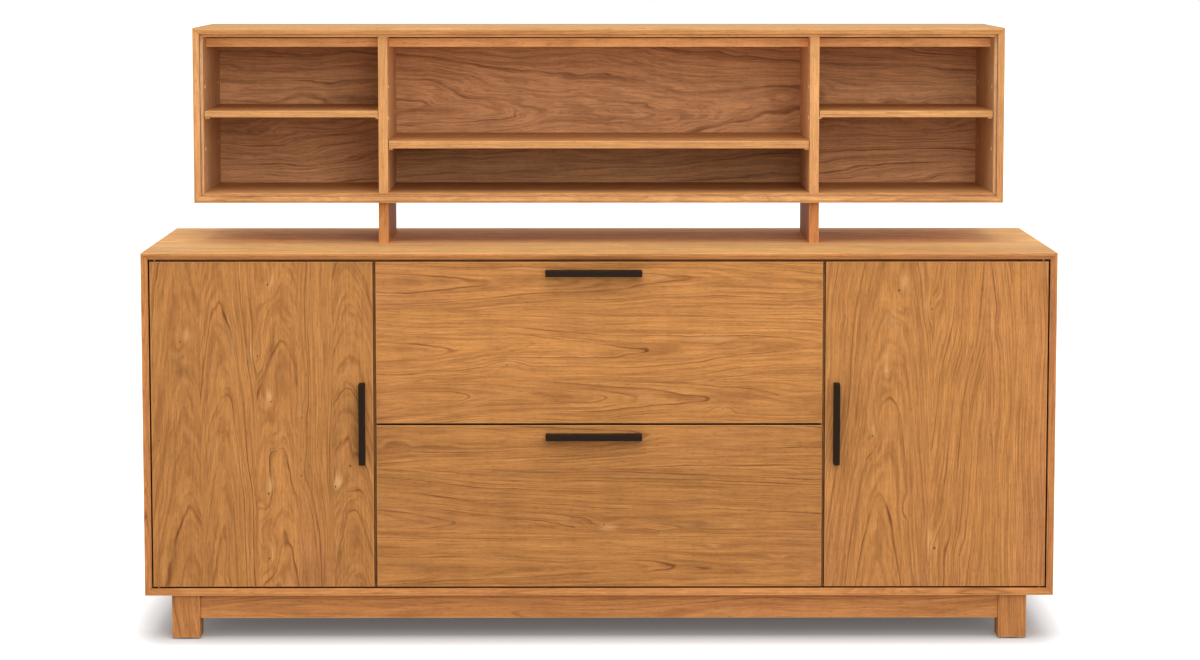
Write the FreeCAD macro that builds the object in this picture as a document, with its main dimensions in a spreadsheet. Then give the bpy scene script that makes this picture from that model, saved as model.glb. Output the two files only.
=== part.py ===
import FreeCAD, Part
import math
import os
from collections import namedtuple

import Sketcher

# Office credenza with an open hutch. Millimetres, +X to the right, +Y to the back, +Z up.
# The origin is on the floor, under the middle of the outline with its pulls.

SIZES = {
    # Case: four mitred boards round two cabinets and two file drawers
    "case_width": 1829.0,
    "case_depth": 610.0,
    "case_height": 692.0,
    "board": 19.0,
    "edge_land": 5.0,          # flat of a shell's front edge, before the bevel
    "bevel_width": 8.5,
    "bevel_depth": 8.0,
    "overcut": 1.0,            # how far a cutting profile runs past the wood
    "centre_width": 900.0,     # between the middles of the two case dividers
    "back_thickness": 9.0,
    "back_groove": 7.0,
    "groove_play": 0.2,
    "case_back_inset": 12.0,
    # Doors and drawer fronts
    "front_thickness": 19.0,
    "front_setback": 8.0,
    "front_gap": 3.0,
    "top_gap": 4.5,
    "swing_air": 0.6,          # round the back corner of a door as it swings
    "reveal": 6.0,             # between a door and the drawer fronts
    "drawer_gap": 4.0,
    "upper_front_height": 325.5,
    "arris": 1.5,
    # Pulls
    "pull_reach": 30.0,
    "pull_bar": 12.0,
    "pull_grip": 10.0,
    "pull_bevel": 3.0,
    "door_pull_length": 164.0,
    "door_pull_edge": 22.0,
    "door_pull_rise": 4.0,
    "drawer_pull_length": 193.0,
    "drawer_pull_drop": 22.0,
    "drawer_pull_shift": -11.0,
    # Knife hinges
    "hinge_edge": 10.0,        # from the pivot to the door's outer edge
    "hinge_depth": 7.0,        # from the pivot to the door's face
    "leaf_length": 45.0,
    "leaf_width": 9.0,
    "leaf_thickness": 2.5,
    "hinge_pin": 3.0,          # radius
    "hinge_fit": 0.05,
    "hinge_pin_depth": 6.0,    # of the pin below its leaf
    "hinge_boss": 4.5,         # radius
    "hinge_float": 0.3,
    "pin_hole_spare": 1.0,
    # Magnetic catches
    "catch_width": 14.0,
    "catch_depth": 24.0,
    "catch_height": 38.0,
    "catch_drop": 30.0,
    "catch_air": 0.4,
    "strike_thickness": 1.5,
    # File drawers
    "box_side": 12.0,
    "box_depth": 500.0,
    "box_height": 265.0,
    "box_rise": 25.0,
    "box_groove": 6.0,
    "box_groove_rise": 12.0,
    "box_bottom": 6.0,
    "file_rail_thickness": 3.0,
    "file_rail_height": 18.0,
    "file_rail_proud": 4.0,
    "file_rail_seat": 8.0,
    "file_rail_start": 4.0,
    "file_span": 326.0,
    # Drawer slides
    "slide_width": 13.0,
    "slide_height": 46.0,
    "slide_length": 500.0,
    "slide_rise": 45.0,
    "slide_start": 2.0,
    "slide_metal": 1.2,
    "slide_play": 0.3,
    "slide_flange": 9.0,
    # Shelves and their pins
    "shelf_play": 1.2,
    "cabinet_shelf_setback": 32.0,
    "cabinet_shelf_thickness": 19.0,
    "small_shelf_thickness": 13.5,
    "wide_shelf_thickness": 15.5,
    "hutch_shelf_setback": 3.0,
    "pin_radius": 2.5,         # of a pin's hole, to its flats
    "pin_fit": 0.05,
    "pin_depth": 9.0,
    "pin_proud": 8.0,
    "pin_pitch": 64.0,
    "pin_front": 37.0,
    "pin_rear": 37.0,
    "cabinet_pin_low": 262.0,
    "hutch_pin_low": 89.0,
    "sleeve_radius": 3.5,
    # Base
    "base_height": 92.0,
    "leg": 57.0,
    "leg_inset": 52.0,
    "leg_setback": 15.0,
    "leg_arris": 2.0,
    "rail_height": 50.0,
    "rail_thickness": 22.0,
    "rail_inset": 6.0,
    "tenon_length": 20.0,
    "tenon_thickness": 10.0,
    "tenon_shoulder": 8.0,
    "glide_radius": 20.0,
    "glide_height": 3.0,
    "angle_leg": 36.0,
    "angle_metal": 2.5,
    "angle_width": 40.0,
    "angle_end": 200.0,        # from a leg to the middle of the nearest angle
    # Hutch: four mitred boards on two posts
    "hutch_width": 1661.0,
    "hutch_depth": 390.0,
    "hutch_height": 358.5,
    "hutch_setback": 215.0,
    "hutch_rabbet": 20.0,
    "hutch_back_inset": 38.0,
    "hutch_bay_width": 886.0,  # between the middles of the two hutch dividers
    "top_rail_height": 22.0,
    "top_rail_thickness": 19.0,
    "top_rail_setback": 65.0,
    "post_height": 84.0,
    "post_thickness": 20.5,
    "post_depth": 300.0,
    "post_setback": 15.0,
    "key_thickness": 8.0,      # loose tenons that locate the posts
    "key_width": 50.0,
    "key_inset": 40.0,
    "key_in_case": 12.0,
    "key_in_post": 28.0,
    "key_in_divider": 20.0,
}

SIDES = (("left", -1), ("right", 1))
PIN_FACES = 8
PIN_ROWS = range(3)
HAIR = 0.01                    # how far apart two places may be and still count as one
SLIVER = 1.0                   # the least volume that a cut must remove
CABINET_SHELF_ROW = 1
HUTCH_SHELF_ROWS = {"left": 1, "center": 0, "right": 1}

# Places that several pieces share, as expressions on the sheet of sizes
PROUD = "(Dim.pull_reach - Dim.front_setback)"
CASE_FRONT = f"(({PROUD} - Dim.case_depth) / 2)"
CASE_HIGH = "(Dim.base_height + Dim.case_height)"
LIP = "(Dim.edge_land + Dim.bevel_width)"
FRONT_FACE = f"({CASE_FRONT} + Dim.front_setback)"
FRONT_REAR = f"({FRONT_FACE} + Dim.front_thickness)"
PIVOT_BACK = "(Dim.front_thickness - Dim.hinge_depth)"
SWING = f"(sqrt(Dim.hinge_edge ^ 2 + {PIVOT_BACK} ^ 2) - {PIVOT_BACK} + Dim.swing_air)"
CASE_RABBET = f"(Dim.front_setback + Dim.front_thickness + {SWING})"
FRONT_LOW = f"(Dim.base_height + {LIP} + Dim.front_gap)"
FRONT_HIGH = f"({CASE_HIGH} - {LIP} - Dim.top_gap)"
DOOR_OUTER = f"(Dim.case_width / 2 - {LIP} - Dim.front_gap)"
DOOR_INNER = "((Dim.centre_width + Dim.reveal) / 2)"
DRAWER_HALF = "((Dim.centre_width - Dim.reveal) / 2)"
DIVIDER_OUTER = "((Dim.centre_width + Dim.board) / 2)"
DIVIDER_INNER = "((Dim.centre_width - Dim.board) / 2)"
BOX_HALF = f"({DIVIDER_INNER} - Dim.slide_width)"
BOX_INNER = f"({BOX_HALF} - Dim.box_side)"
BOX_END = f"({FRONT_REAR} + Dim.box_depth)"
PIVOT_X = f"({DOOR_OUTER} - Dim.hinge_edge)"
PIVOT_Y = f"({FRONT_FACE} + Dim.hinge_depth)"
LEG_OUTER = "(Dim.case_width / 2 - Dim.leg_inset)"
LEG_FRONT = f"({CASE_FRONT} + Dim.leg_setback)"
LEG_REAR = f"({CASE_FRONT} + Dim.case_depth - Dim.leg_setback)"
HUTCH_FRONT = f"({CASE_FRONT} + Dim.hutch_setback)"
HUTCH_LOW = f"({CASE_HIGH} + Dim.post_height)"
BAY_OUTER = "((Dim.hutch_bay_width + Dim.board) / 2)"
BAY_INNER = "((Dim.hutch_bay_width - Dim.board) / 2)"
POST_FRONT = f"({HUTCH_FRONT} + Dim.post_setback)"

# A shell is a frame of four mitred boards, closed by a back that sits in a groove
Shell = namedtuple("Shell", "name half low high front depth rabbet back pin_low")

CASE = Shell(
    name="case",
    half="(Dim.case_width / 2)",
    low="Dim.base_height",
    high=CASE_HIGH,
    front=CASE_FRONT,
    depth="Dim.case_depth",
    rabbet=CASE_RABBET,
    back=f"({CASE_FRONT} + Dim.case_depth - Dim.case_back_inset - Dim.back_thickness)",
    pin_low="Dim.cabinet_pin_low",
)
HUTCH = Shell(
    name="hutch",
    half="(Dim.hutch_width / 2)",
    low=HUTCH_LOW,
    high=f"({HUTCH_LOW} + Dim.hutch_height)",
    front=HUTCH_FRONT,
    depth="Dim.hutch_depth",
    rabbet="Dim.hutch_rabbet",
    back=f"({HUTCH_FRONT} + Dim.hutch_depth - Dim.hutch_back_inset - Dim.back_thickness)",
    pin_low="Dim.hutch_pin_low",
)

doc = FreeCAD.newDocument("Credenza")
nodes = {}


def fill_sheet():
    """Puts every driving size into the sheet, with its name as the alias."""
    sheet = doc.addObject("Spreadsheet::Sheet", "Dim")
    for row, (name, value) in enumerate(SIZES.items(), start=1):
        sheet.set(f"A{row}", name)
        sheet.set(f"B{row}", str(value))
        sheet.setAlias(f"B{row}", name)
    doc.recompute()


# ---------------------------------------------------------------- drawing and solid helpers

def origin_plane(body, role):
    """One of the body's own origin planes or axes."""
    return next(item for item in body.Origin.OriginFeatures if item.Role == role)


def new_body(name):
    """An empty body for one sub-part; it may hold several separate solids."""
    body = doc.addObject("PartDesign::Body", name)
    body.Label = name
    body.AllowCompound = True
    nodes[name] = body
    return body


def corner_points(count):
    """Starting corners for a polygon, which its constraints then move."""
    turns = [2 * math.pi * index / count for index in range(count)]
    return [FreeCAD.Vector(math.cos(turn), math.sin(turn), 0) for turn in turns]


def polygon_rules(first, points):
    """Lines and constraints of a closed polygon; each corner is held at two expressions."""
    count = len(points)
    start = corner_points(count)
    lines = [Part.LineSegment(start[index], start[(index + 1) % count])
             for index in range(count)]
    rules = []
    for index, (across, up) in enumerate(points):
        line = first + index
        following = first + (index + 1) % count
        rules += [
            (Sketcher.Constraint("Coincident", line, 2, following, 1), None),
            (Sketcher.Constraint("DistanceX", -1, 1, line, 1, start[index].x), across),
            (Sketcher.Constraint("DistanceY", -1, 1, line, 1, start[index].y), up),
        ]
    return lines, rules


def circle_rules(first, across, up, radius):
    """A circle whose centre and radius are held at expressions."""
    circle = Part.Circle(FreeCAD.Vector(1, 1, 0), FreeCAD.Vector(0, 0, 1), 1)
    return [circle], [
        (Sketcher.Constraint("DistanceX", -1, 1, first, 3, 1.0), across),
        (Sketcher.Constraint("DistanceY", -1, 1, first, 3, 1.0), up),
        (Sketcher.Constraint("Radius", first, 1.0), radius),
    ]


def draw(body, name, plane, at, loops):
    """A sketch of closed loops, parallel to an origin plane and at a place along its axis.

    A loop is a list of corners, or a circle given as (across, up, radius).
    """
    sketch = body.newObject("Sketcher::SketchObject", f"{body.Name}_{name}_sketch")
    sketch.AttachmentSupport = [(origin_plane(body, plane), "")]
    sketch.MapMode = "FlatFace"
    offset = f"-({at})" if plane == "XZ_Plane" else at
    sketch.setExpression("AttachmentOffset.Base.z", offset)
    rules = []
    for loop in loops:
        first = sketch.GeometryCount
        if isinstance(loop, tuple):
            geometry, added = circle_rules(first, *loop)
        else:
            geometry, added = polygon_rules(first, loop)
        sketch.addGeometry(geometry)
        rules += added
    sketch.addConstraint([constraint for constraint, _ in rules])
    for index, (_, expression) in enumerate(rules):
        if expression is not None:
            sketch.setExpression(f"Constraints[{index}]", expression)
    return sketch


def prism(body, name, plane, at, loops, length):
    """Pads loops from a plane towards the positive end of the plane's axis."""
    pad = body.newObject("PartDesign::Pad", f"{body.Name}_{name}")
    pad.Profile = draw(body, name, plane, at, loops)
    pad.setExpression("Length", length)
    pad.Reversed = plane == "XZ_Plane"
    return pad


def cut(body, name, plane, at, loops, depth, towards):
    """Pockets loops from a plane, towards +1 or -1 along the plane's axis."""
    pocket = body.newObject("PartDesign::Pocket", f"{body.Name}_{name}")
    pocket.Profile = draw(body, name, plane, at, loops)
    pocket.setExpression("Length", depth)
    pocket.Reversed = (towards > 0) != (plane == "XZ_Plane")
    return pocket


def cut_through(body, name, plane, loops):
    """Pockets loops right through the body, along the plane's axis."""
    pocket = body.newObject("PartDesign::Pocket", f"{body.Name}_{name}")
    pocket.Profile = draw(body, name, plane, "0", loops)
    pocket.Type = "ThroughAll"
    pocket.SideType = "Symmetric"
    return pocket


def rectangle(across, up):
    """The four corners of a rectangle from two (low, high) pairs."""
    return [(across[0], up[0]), (across[1], up[0]), (across[1], up[1]), (across[0], up[1])]


def mirrored(side, inner, outer):
    """A (low, high) pair along X for a span on the left (-1) or the right (+1)."""
    return (inner, outer) if side > 0 else (f"-({outer})", f"-({inner})")


def place(side, distance):
    """A place along X on the left (-1) or the right (+1) of the middle."""
    return distance if side > 0 else f"-({distance})"


def length_of(span):
    """The length of a (low, high) pair."""
    return f"({span[1]}) - ({span[0]})"


def plank(name, x, y, z):
    """A body that starts as one rectangular board."""
    body = new_body(name)
    prism(body, "board", "XY_Plane", z[0], [rectangle(x, y)], length_of(z))
    return body


def edges_where(feature, test):
    """Names of the feature's edges whose bounding boxes pass a test."""
    doc.recompute()
    edges = enumerate(feature.Shape.Edges, start=1)
    return [f"Edge{index}" for index, edge in edges if test(edge.BoundBox)]


def dress(body, kind, names, size):
    """Fillets or chamfers named edges of the body's last feature."""
    base = body.Tip
    feature = body.newObject(f"PartDesign::{kind}", f"{body.Name}_{kind.lower()}")
    feature.Base = (base, names)
    feature.setExpression("Radius" if kind == "Fillet" else "Size", size)
    return feature


def dress_front(body, kind, size):
    """Dresses the edges round the body's front face."""
    doc.recompute()
    front = body.Tip.Shape.BoundBox.YMin
    dress(body, kind, edges_where(body.Tip, lambda box: box.YMax < front + HAIR), size)


def dress_upright(body, size):
    """Fillets the edges that run from the body's foot to its head."""
    doc.recompute()
    tall = body.Tip.Shape.BoundBox.ZLength - HAIR
    dress(body, "Fillet", edges_where(body.Tip, lambda box: box.ZLength > tall), size)


def block(name, x, y, z):
    """A rectangular primitive between (low, high) pairs."""
    solid = doc.addObject("Part::Box", name)
    for size, span in (("Length", x), ("Width", y), ("Height", z)):
        solid.setExpression(size, length_of(span))
    for axis, span in (("x", x), ("y", y), ("z", z)):
        solid.setExpression(f"Placement.Base.{axis}", span[0])
    return solid


def rod(name, x, y, z, radius):
    """An upright cylinder at (x, y) over a (low, high) pair."""
    solid = doc.addObject("Part::Cylinder", name)
    solid.setExpression("Radius", radius)
    solid.setExpression("Height", length_of(z))
    for axis, value in (("x", x), ("y", y), ("z", z[0])):
        solid.setExpression(f"Placement.Base.{axis}", value)
    return solid


def compound(name, members):
    """Several separate solids as one object."""
    group = doc.addObject("Part::Compound", name)
    group.Links = members
    group.Label = name
    return group


def gather(name, members):
    """Several separate solids as one sub-part."""
    nodes[name] = compound(name, members)


def subtract(name, base, tool):
    """A solid or a compound less another."""
    result = doc.addObject("Part::Cut", name)
    result.Base = base
    result.Tool = tool
    return result


def drill(name, tools):
    """Takes tools out of a sub-part, and keeps the result in its place."""
    blank = nodes[name]
    blank.Label = f"{name}_blank"
    nodes[name] = subtract(f"{name}_drilled", blank, compound(f"{name}_tools", tools))
    nodes[name].Label = name


# ---------------------------------------------------------------- mitred shells

def shell_edges(shell, inset):
    """Where a shell's four sides lie when moved inwards by an inset."""
    return {
        "left": f"({inset} - {shell.half})",
        "right": f"({shell.half} - {inset})",
        "bottom": f"({shell.low} + {inset})",
        "top": f"({shell.high} - {inset})",
    }


def mitred_board(shell, side):
    """One board of a shell: mitred ends, bevelled and rabbeted front edge, back groove."""
    body = new_body(f"{shell.name}_{side}" if side in ("top", "bottom")
                    else f"{shell.name}_side_{side}")
    outer = shell_edges(shell, "0")
    inner = shell_edges(shell, "Dim.board")
    flat = side in ("top", "bottom")
    ends = ("left", "right") if flat else ("bottom", "top")
    face = [(edges[side], edges[end]) for edges, end in
            ((outer, ends[0]), (outer, ends[1]), (inner, ends[1]), (inner, ends[0]))]
    if flat:
        face = [(across, up) for up, across in face]
    prism(body, "blank", "XZ_Plane", shell.front, [face], shell.depth)

    def at(inset, y):
        """A point of the board's cross-section, by its depth below the outer face."""
        level = shell_edges(shell, inset)[side]
        return (y, level) if flat else (level, y)

    before = f"({shell.front} - Dim.overcut)"
    step = f"({shell.front} + {shell.rabbet})"
    past = "(Dim.board + Dim.overcut)"
    edge_profile = [
        at("Dim.edge_land", before),
        at("Dim.edge_land", shell.front),
        at(LIP, f"({shell.front} + Dim.bevel_depth)"),
        at(LIP, step),
        at(past, step),
        at(past, before),
    ]
    groove_end = f"({shell.back} + Dim.back_thickness + Dim.groove_play)"
    groove_floor = "(Dim.board - Dim.back_groove)"
    groove = [
        at(groove_floor, shell.back),
        at(past, shell.back),
        at(past, groove_end),
        at(groove_floor, groove_end),
    ]
    plane = "YZ_Plane" if flat else "XY_Plane"
    cut_through(body, "edge_profile", plane, [edge_profile, groove])
    return body


def shell_back(shell):
    """The back panel, held in the grooves of the four boards."""
    edges = shell_edges(shell, "(Dim.board - Dim.back_groove + Dim.groove_play)")
    thick = (shell.back, f"({shell.back} + Dim.back_thickness)")
    plank(f"{shell.name}_back", (edges["left"], edges["right"]), thick,
          (edges["bottom"], edges["top"]))


def shell_divider(shell, name, side, inner, outer):
    """An upright board between a shell's bottom and top, flush with the rabbet's floor."""
    edges = shell_edges(shell, "Dim.board")
    depth = (f"({shell.front} + {shell.rabbet})", shell.back)
    return plank(name, mirrored(side, inner, outer), depth, (edges["bottom"], edges["top"]))


# ---------------------------------------------------------------- shelf pins and shelves

def pin_columns(shell):
    """The two places along Y of a shell's columns of pin holes."""
    front = f"({shell.front} + {shell.rabbet} + Dim.pin_front)"
    return front, f"({shell.back} - Dim.pin_rear)"


def pin_height(shell, row):
    """The height of a row of pin holes."""
    return f"({shell.low} + Dim.board + {shell.pin_low} + {row} * Dim.pin_pitch)"


def pin_rod(name, span, at, radius):
    """An eight-sided rod along X, measured to its flats."""
    solid = doc.addObject("Part::Prism", name)
    solid.Polygon = PIN_FACES
    solid.setExpression("Circumradius", f"{radius} / cos(180 deg / {PIN_FACES})")
    solid.setExpression("Height", length_of(span))
    flat_up = FreeCAD.Rotation(FreeCAD.Vector(0, 0, 1), 180 / PIN_FACES)
    along_x = FreeCAD.Rotation(FreeCAD.Vector(0, 1, 0), 90)
    solid.Placement = FreeCAD.Placement(FreeCAD.Vector(), along_x * flat_up)
    for axis, value in (("x", span[0]), ("y", at[0]), ("z", at[1])):
        solid.setExpression(f"Placement.Base.{axis}", value)
    return solid


def pin_places(shell):
    """Every (name, y, z) of a shell's two columns of pin holes."""
    return [(f"{column}_{row}", y, pin_height(shell, row))
            for column, y in zip(("front", "rear"), pin_columns(shell)) for row in PIN_ROWS]


def bays(shell):
    """The (low, high) pairs along X of the spaces that hold shelves."""
    wall = shell_edges(shell, "Dim.board")
    if shell is CASE:
        return {
            "left": (wall["left"], f"-({DIVIDER_OUTER})"),
            "right": (DIVIDER_OUTER, wall["right"]),
        }
    return {
        "left": (wall["left"], f"-({BAY_OUTER})"),
        "center": (f"-({BAY_INNER})", BAY_INNER),
        "right": (BAY_OUTER, wall["right"]),
    }


def into_wood(face, towards):
    """The (low, high) pair of a pin hole that runs from a face towards -1 or +1 along X."""
    if towards < 0:
        return f"({face} - Dim.pin_depth)", face
    return face, f"({face} + Dim.pin_depth)"


def pin_holes(shell, bay, end, radius):
    """Rods that fill the pin holes in the board at the low (0) or high (1) end of a bay."""
    span = into_wood(bays(shell)[bay][end], (-1, 1)[end])
    return [pin_rod(f"{shell.name}_{bay}_{end}_{name}", span, (y, z), radius)
            for name, y, z in pin_places(shell)]


def shelf(shell, name, bay, row, setback, thickness):
    """A loose shelf that lies on four pins."""
    low, high = bays(shell)[bay]
    x = (f"({low} + Dim.shelf_play)", f"({high} - Dim.shelf_play)")
    y = (f"({shell.front} + {shell.rabbet} + {setback})", f"({shell.back} - Dim.shelf_play)")
    under = f"({pin_height(shell, row)} + Dim.pin_radius - Dim.pin_fit)"
    body = plank(name, x, y, (under, f"({under} + {thickness})"))
    dress_front(body, "Fillet", "Dim.arris")


def pins(shell, rows):
    """The pins under the shelves of a shell; rows maps a bay to its shelf's row."""
    rods = []
    for bay, row in rows.items():
        low, high = bays(shell)[bay]
        spans = (
            (f"({low} - Dim.pin_depth)", f"({low} + Dim.pin_proud)"),
            (f"({high} - Dim.pin_proud)", f"({high} + Dim.pin_depth)"),
        )
        rods += [pin_rod(f"{shell.name}_{bay}_pin", span, (y, pin_height(shell, row)),
                         "(Dim.pin_radius - Dim.pin_fit)")
                 for span in spans for y in pin_columns(shell)]
    return rods


# ---------------------------------------------------------------- case

def leaf_spans(side):
    """Where a hinge leaf lies, along X and along Y."""
    x = mirrored(side, f"({DOOR_OUTER} - Dim.leaf_length)", DOOR_OUTER)
    y = (f"({PIVOT_Y} - Dim.leaf_width / 2)", f"({PIVOT_Y} + Dim.leaf_width / 2)")
    return x, y


def case():
    """The case shell with its dividers, hinge mortises, key slots and pin holes."""
    top, bottom = (mitred_board(CASE, side) for side in ("top", "bottom"))
    shell_back(CASE)
    for index, (name, side) in enumerate(SIDES):
        mitred_board(CASE, name)
        shell_divider(CASE, f"case_divider_{name}", side, DIVIDER_INNER, DIVIDER_OUTER)
        drill(f"case_side_{name}", pin_holes(CASE, name, index, "Dim.pin_radius"))
        drill(f"case_divider_{name}", pin_holes(CASE, name, 1 - index, "Dim.pin_radius"))
    mortises = [rectangle(*leaf_spans(side)) for _, side in SIDES]
    lip = shell_edges(CASE, LIP)
    cut(top, "mortises", "XY_Plane", lip["top"], mortises, "Dim.leaf_thickness", 1)
    cut(bottom, "mortises", "XY_Plane", lip["bottom"], mortises, "Dim.leaf_thickness", -1)
    cut(top, "key_slots", "XY_Plane", CASE.high, key_outlines(), "Dim.key_in_case", -1)


def cabinet_shelves():
    """One loose shelf behind each door."""
    for name, _ in SIDES:
        shelf(CASE, f"cabinet_shelf_{name}", name, CABINET_SHELF_ROW,
              "Dim.cabinet_shelf_setback", "Dim.cabinet_shelf_thickness")


def shelf_pins():
    """The pins under every shelf."""
    cabinets = {name: CABINET_SHELF_ROW for name, _ in SIDES}
    gather("shelf_pins", pins(CASE, cabinets) + pins(HUTCH, HUTCH_SHELF_ROWS))


# ---------------------------------------------------------------- base

def leg_spans(row):
    """Where the front or rear legs lie along Y."""
    if row == "front":
        return LEG_FRONT, f"({LEG_FRONT} + Dim.leg)"
    return f"({LEG_REAR} - Dim.leg)", LEG_REAR


def rail_spans(row):
    """Where the front or rear rail lies along Y."""
    if row == "front":
        outer = f"({LEG_FRONT} + Dim.rail_inset)"
        return outer, f"({outer} + Dim.rail_thickness)"
    outer = f"({LEG_REAR} - Dim.rail_inset)"
    return f"({outer} - Dim.rail_thickness)", outer


LEG_INNER = f"({LEG_OUTER} - Dim.leg)"
SIDE_RAIL_OUTER = f"({LEG_OUTER} - Dim.rail_inset)"
SIDE_RAIL_INNER = f"({SIDE_RAIL_OUTER} - Dim.rail_thickness)"
RAIL_HEIGHTS = ("(Dim.base_height - Dim.rail_height)", "Dim.base_height")
TENON_HEIGHTS = (f"({RAIL_HEIGHTS[0]} + Dim.tenon_shoulder)",
                 f"({RAIL_HEIGHTS[1]} - Dim.tenon_shoulder)")


def centred(span, width):
    """A (low, high) pair of a width, in the middle of another pair."""
    middle = f"(({span[0]} + {span[1]}) / 2)"
    return f"({middle} - {width} / 2)", f"({middle} + {width} / 2)"


def base_legs(row):
    """A pair of square legs, mortised for the tenons of the rails."""
    body = new_body(f"base_legs_{row}")
    feet = [rectangle(mirrored(side, LEG_INNER, LEG_OUTER), leg_spans(row)) for _, side in SIDES]
    height = "Dim.base_height - Dim.glide_height"
    prism(body, "blanks", "XY_Plane", "Dim.glide_height", feet, height)
    dress_upright(body, "Dim.leg_arris")
    long_tenon = rectangle(centred(rail_spans(row), "Dim.tenon_thickness"), TENON_HEIGHTS)
    for name, side in SIDES:
        cut(body, f"{name}_mortise", "YZ_Plane", place(side, LEG_INNER), [long_tenon],
            "Dim.tenon_length", side)
    side_tenons = [rectangle(centred(mirrored(side, SIDE_RAIL_INNER, SIDE_RAIL_OUTER),
                                     "Dim.tenon_thickness"), TENON_HEIGHTS)
                   for _, side in SIDES]
    if row == "front":
        cut(body, "side_mortises", "XZ_Plane", leg_spans(row)[1], side_tenons,
            "Dim.tenon_length", -1)
    else:
        cut(body, "side_mortises", "XZ_Plane", leg_spans(row)[0], side_tenons,
            "Dim.tenon_length", 1)


def base_rail(row):
    """A long rail between two legs, with a tenon at each end."""
    span = (f"-({LEG_INNER})", LEG_INNER)
    body = plank(f"base_rail_{row}", span, rail_spans(row), RAIL_HEIGHTS)
    tenon = rectangle(centred(rail_spans(row), "Dim.tenon_thickness"), TENON_HEIGHTS)
    prism(body, "right_tenon", "YZ_Plane", LEG_INNER, [tenon], "Dim.tenon_length")
    prism(body, "left_tenon", "YZ_Plane", f"(-({LEG_INNER}) - Dim.tenon_length)", [tenon],
          "Dim.tenon_length")


def base_side_rails():
    """The short rails between the front and the rear legs, with their tenons."""
    body = new_body("base_side_rails")
    start = leg_spans("front")[1]
    end = leg_spans("rear")[0]
    spans = [mirrored(side, SIDE_RAIL_INNER, SIDE_RAIL_OUTER) for _, side in SIDES]
    tenons = [rectangle(centred(x, "Dim.tenon_thickness"), TENON_HEIGHTS) for x in spans]
    prism(body, "boards", "XZ_Plane", start, [rectangle(x, RAIL_HEIGHTS) for x in spans],
          f"{end} - {start}")
    prism(body, "front_tenons", "XZ_Plane", f"({start} - Dim.tenon_length)", tenons,
          "Dim.tenon_length")
    prism(body, "rear_tenons", "XZ_Plane", end, tenons, "Dim.tenon_length")


def angle_profile(corner, across):
    """An angle's outline: one leg down a rail, the other under the case.

    corner is the rail's inner face and across says which way the case leg runs.
    """
    under = "Dim.base_height"

    def out(distance):
        return f"({corner} + {across} * {distance})"

    return [
        (corner, under),
        (out("Dim.angle_leg"), under),
        (out("Dim.angle_leg"), f"({under} - Dim.angle_metal)"),
        (out("Dim.angle_metal"), f"({under} - Dim.angle_metal)"),
        (out("Dim.angle_metal"), f"({under} - Dim.angle_leg)"),
        (corner, f"({under} - Dim.angle_leg)"),
    ]


def base_angles():
    """Steel angles that hold the case down on the base's rails."""
    body = new_body("base_angles")
    front = angle_profile(rail_spans("front")[1], 1)
    rear = angle_profile(rail_spans("rear")[0], -1)
    end = f"({LEG_INNER} - Dim.angle_end)"
    for name, middle in (("left", f"-({end})"), ("middle", "0"), ("right", end)):
        start = f"({middle} - Dim.angle_width / 2)"
        prism(body, f"{name}_angles", "YZ_Plane", start, [front, rear], "Dim.angle_width")
    sides = [angle_profile(place(side, SIDE_RAIL_INNER), -side) for _, side in SIDES]
    middle = f"(({LEG_FRONT} + {LEG_REAR}) / 2)"
    prism(body, "side_angles", "XZ_Plane", f"({middle} - Dim.angle_width / 2)", sides,
          "Dim.angle_width")


def foot_glides():
    """A round glide under the middle of each leg."""
    body = new_body("foot_glides")
    circles = [(place(side, f"(({LEG_OUTER} + {LEG_INNER}) / 2)"),
                f"(({leg_spans(row)[0]} + {leg_spans(row)[1]}) / 2)", "Dim.glide_radius")
               for _, side in SIDES for row in ("front", "rear")]
    prism(body, "discs", "XY_Plane", "0", circles, "Dim.glide_height")


# ---------------------------------------------------------------- hutch

def key_outlines(sides=SIDES):
    """Outlines of the loose tenons, two to a post."""
    half = "Dim.key_thickness / 2"
    middle = "Dim.hutch_bay_width / 2"
    start = f"({POST_FRONT} + Dim.key_inset)"
    end = f"({POST_FRONT} + Dim.post_depth - Dim.key_inset)"
    spans = ((start, f"({start} + Dim.key_width)"), (f"({end} - Dim.key_width)", end))
    return [rectangle(mirrored(side, f"({middle} - {half})", f"({middle} + {half})"), y)
            for _, side in sides for y in spans]


def hutch():
    """The hutch shell with its dividers, key slots, and sleeved pin holes."""
    mitred_board(HUTCH, "top")
    bottom = mitred_board(HUTCH, "bottom")
    shell_back(HUTCH)
    cut(bottom, "key_slots", "XY_Plane", HUTCH.low, key_outlines(), "Dim.board", 1)
    floor = shell_edges(HUTCH, "Dim.board")["bottom"]
    seats = {(bay, end): pin_holes(HUTCH, bay, end, "Dim.sleeve_radius")
             for bay in bays(HUTCH) for end in (0, 1)}
    for index, (name, side) in enumerate(SIDES):
        mitred_board(HUTCH, name)
        divider = shell_divider(HUTCH, f"hutch_divider_{name}", side, BAY_INNER, BAY_OUTER)
        slots = key_outlines([(name, side)])
        cut(divider, "key_slots", "XY_Plane", floor, slots, "Dim.key_in_divider", 1)
        drill(f"hutch_side_{name}", seats[name, index])
        drill(f"hutch_divider_{name}", seats[name, 1 - index] + seats["center", index])
    hutch_sleeves([rod for rods in seats.values() for rod in rods])


def hutch_sleeves(outsides):
    """Brass sleeves that fill every pin hole of the hutch but for their bores."""
    bores = [rod for bay in bays(HUTCH) for end in (0, 1)
             for rod in pin_holes(HUTCH, bay, end, "Dim.pin_radius")]
    name = "hutch_pin_sleeves"
    nodes[name] = subtract(name, compound("sleeve_outsides", outsides),
                           compound("sleeve_bores", bores))


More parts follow.
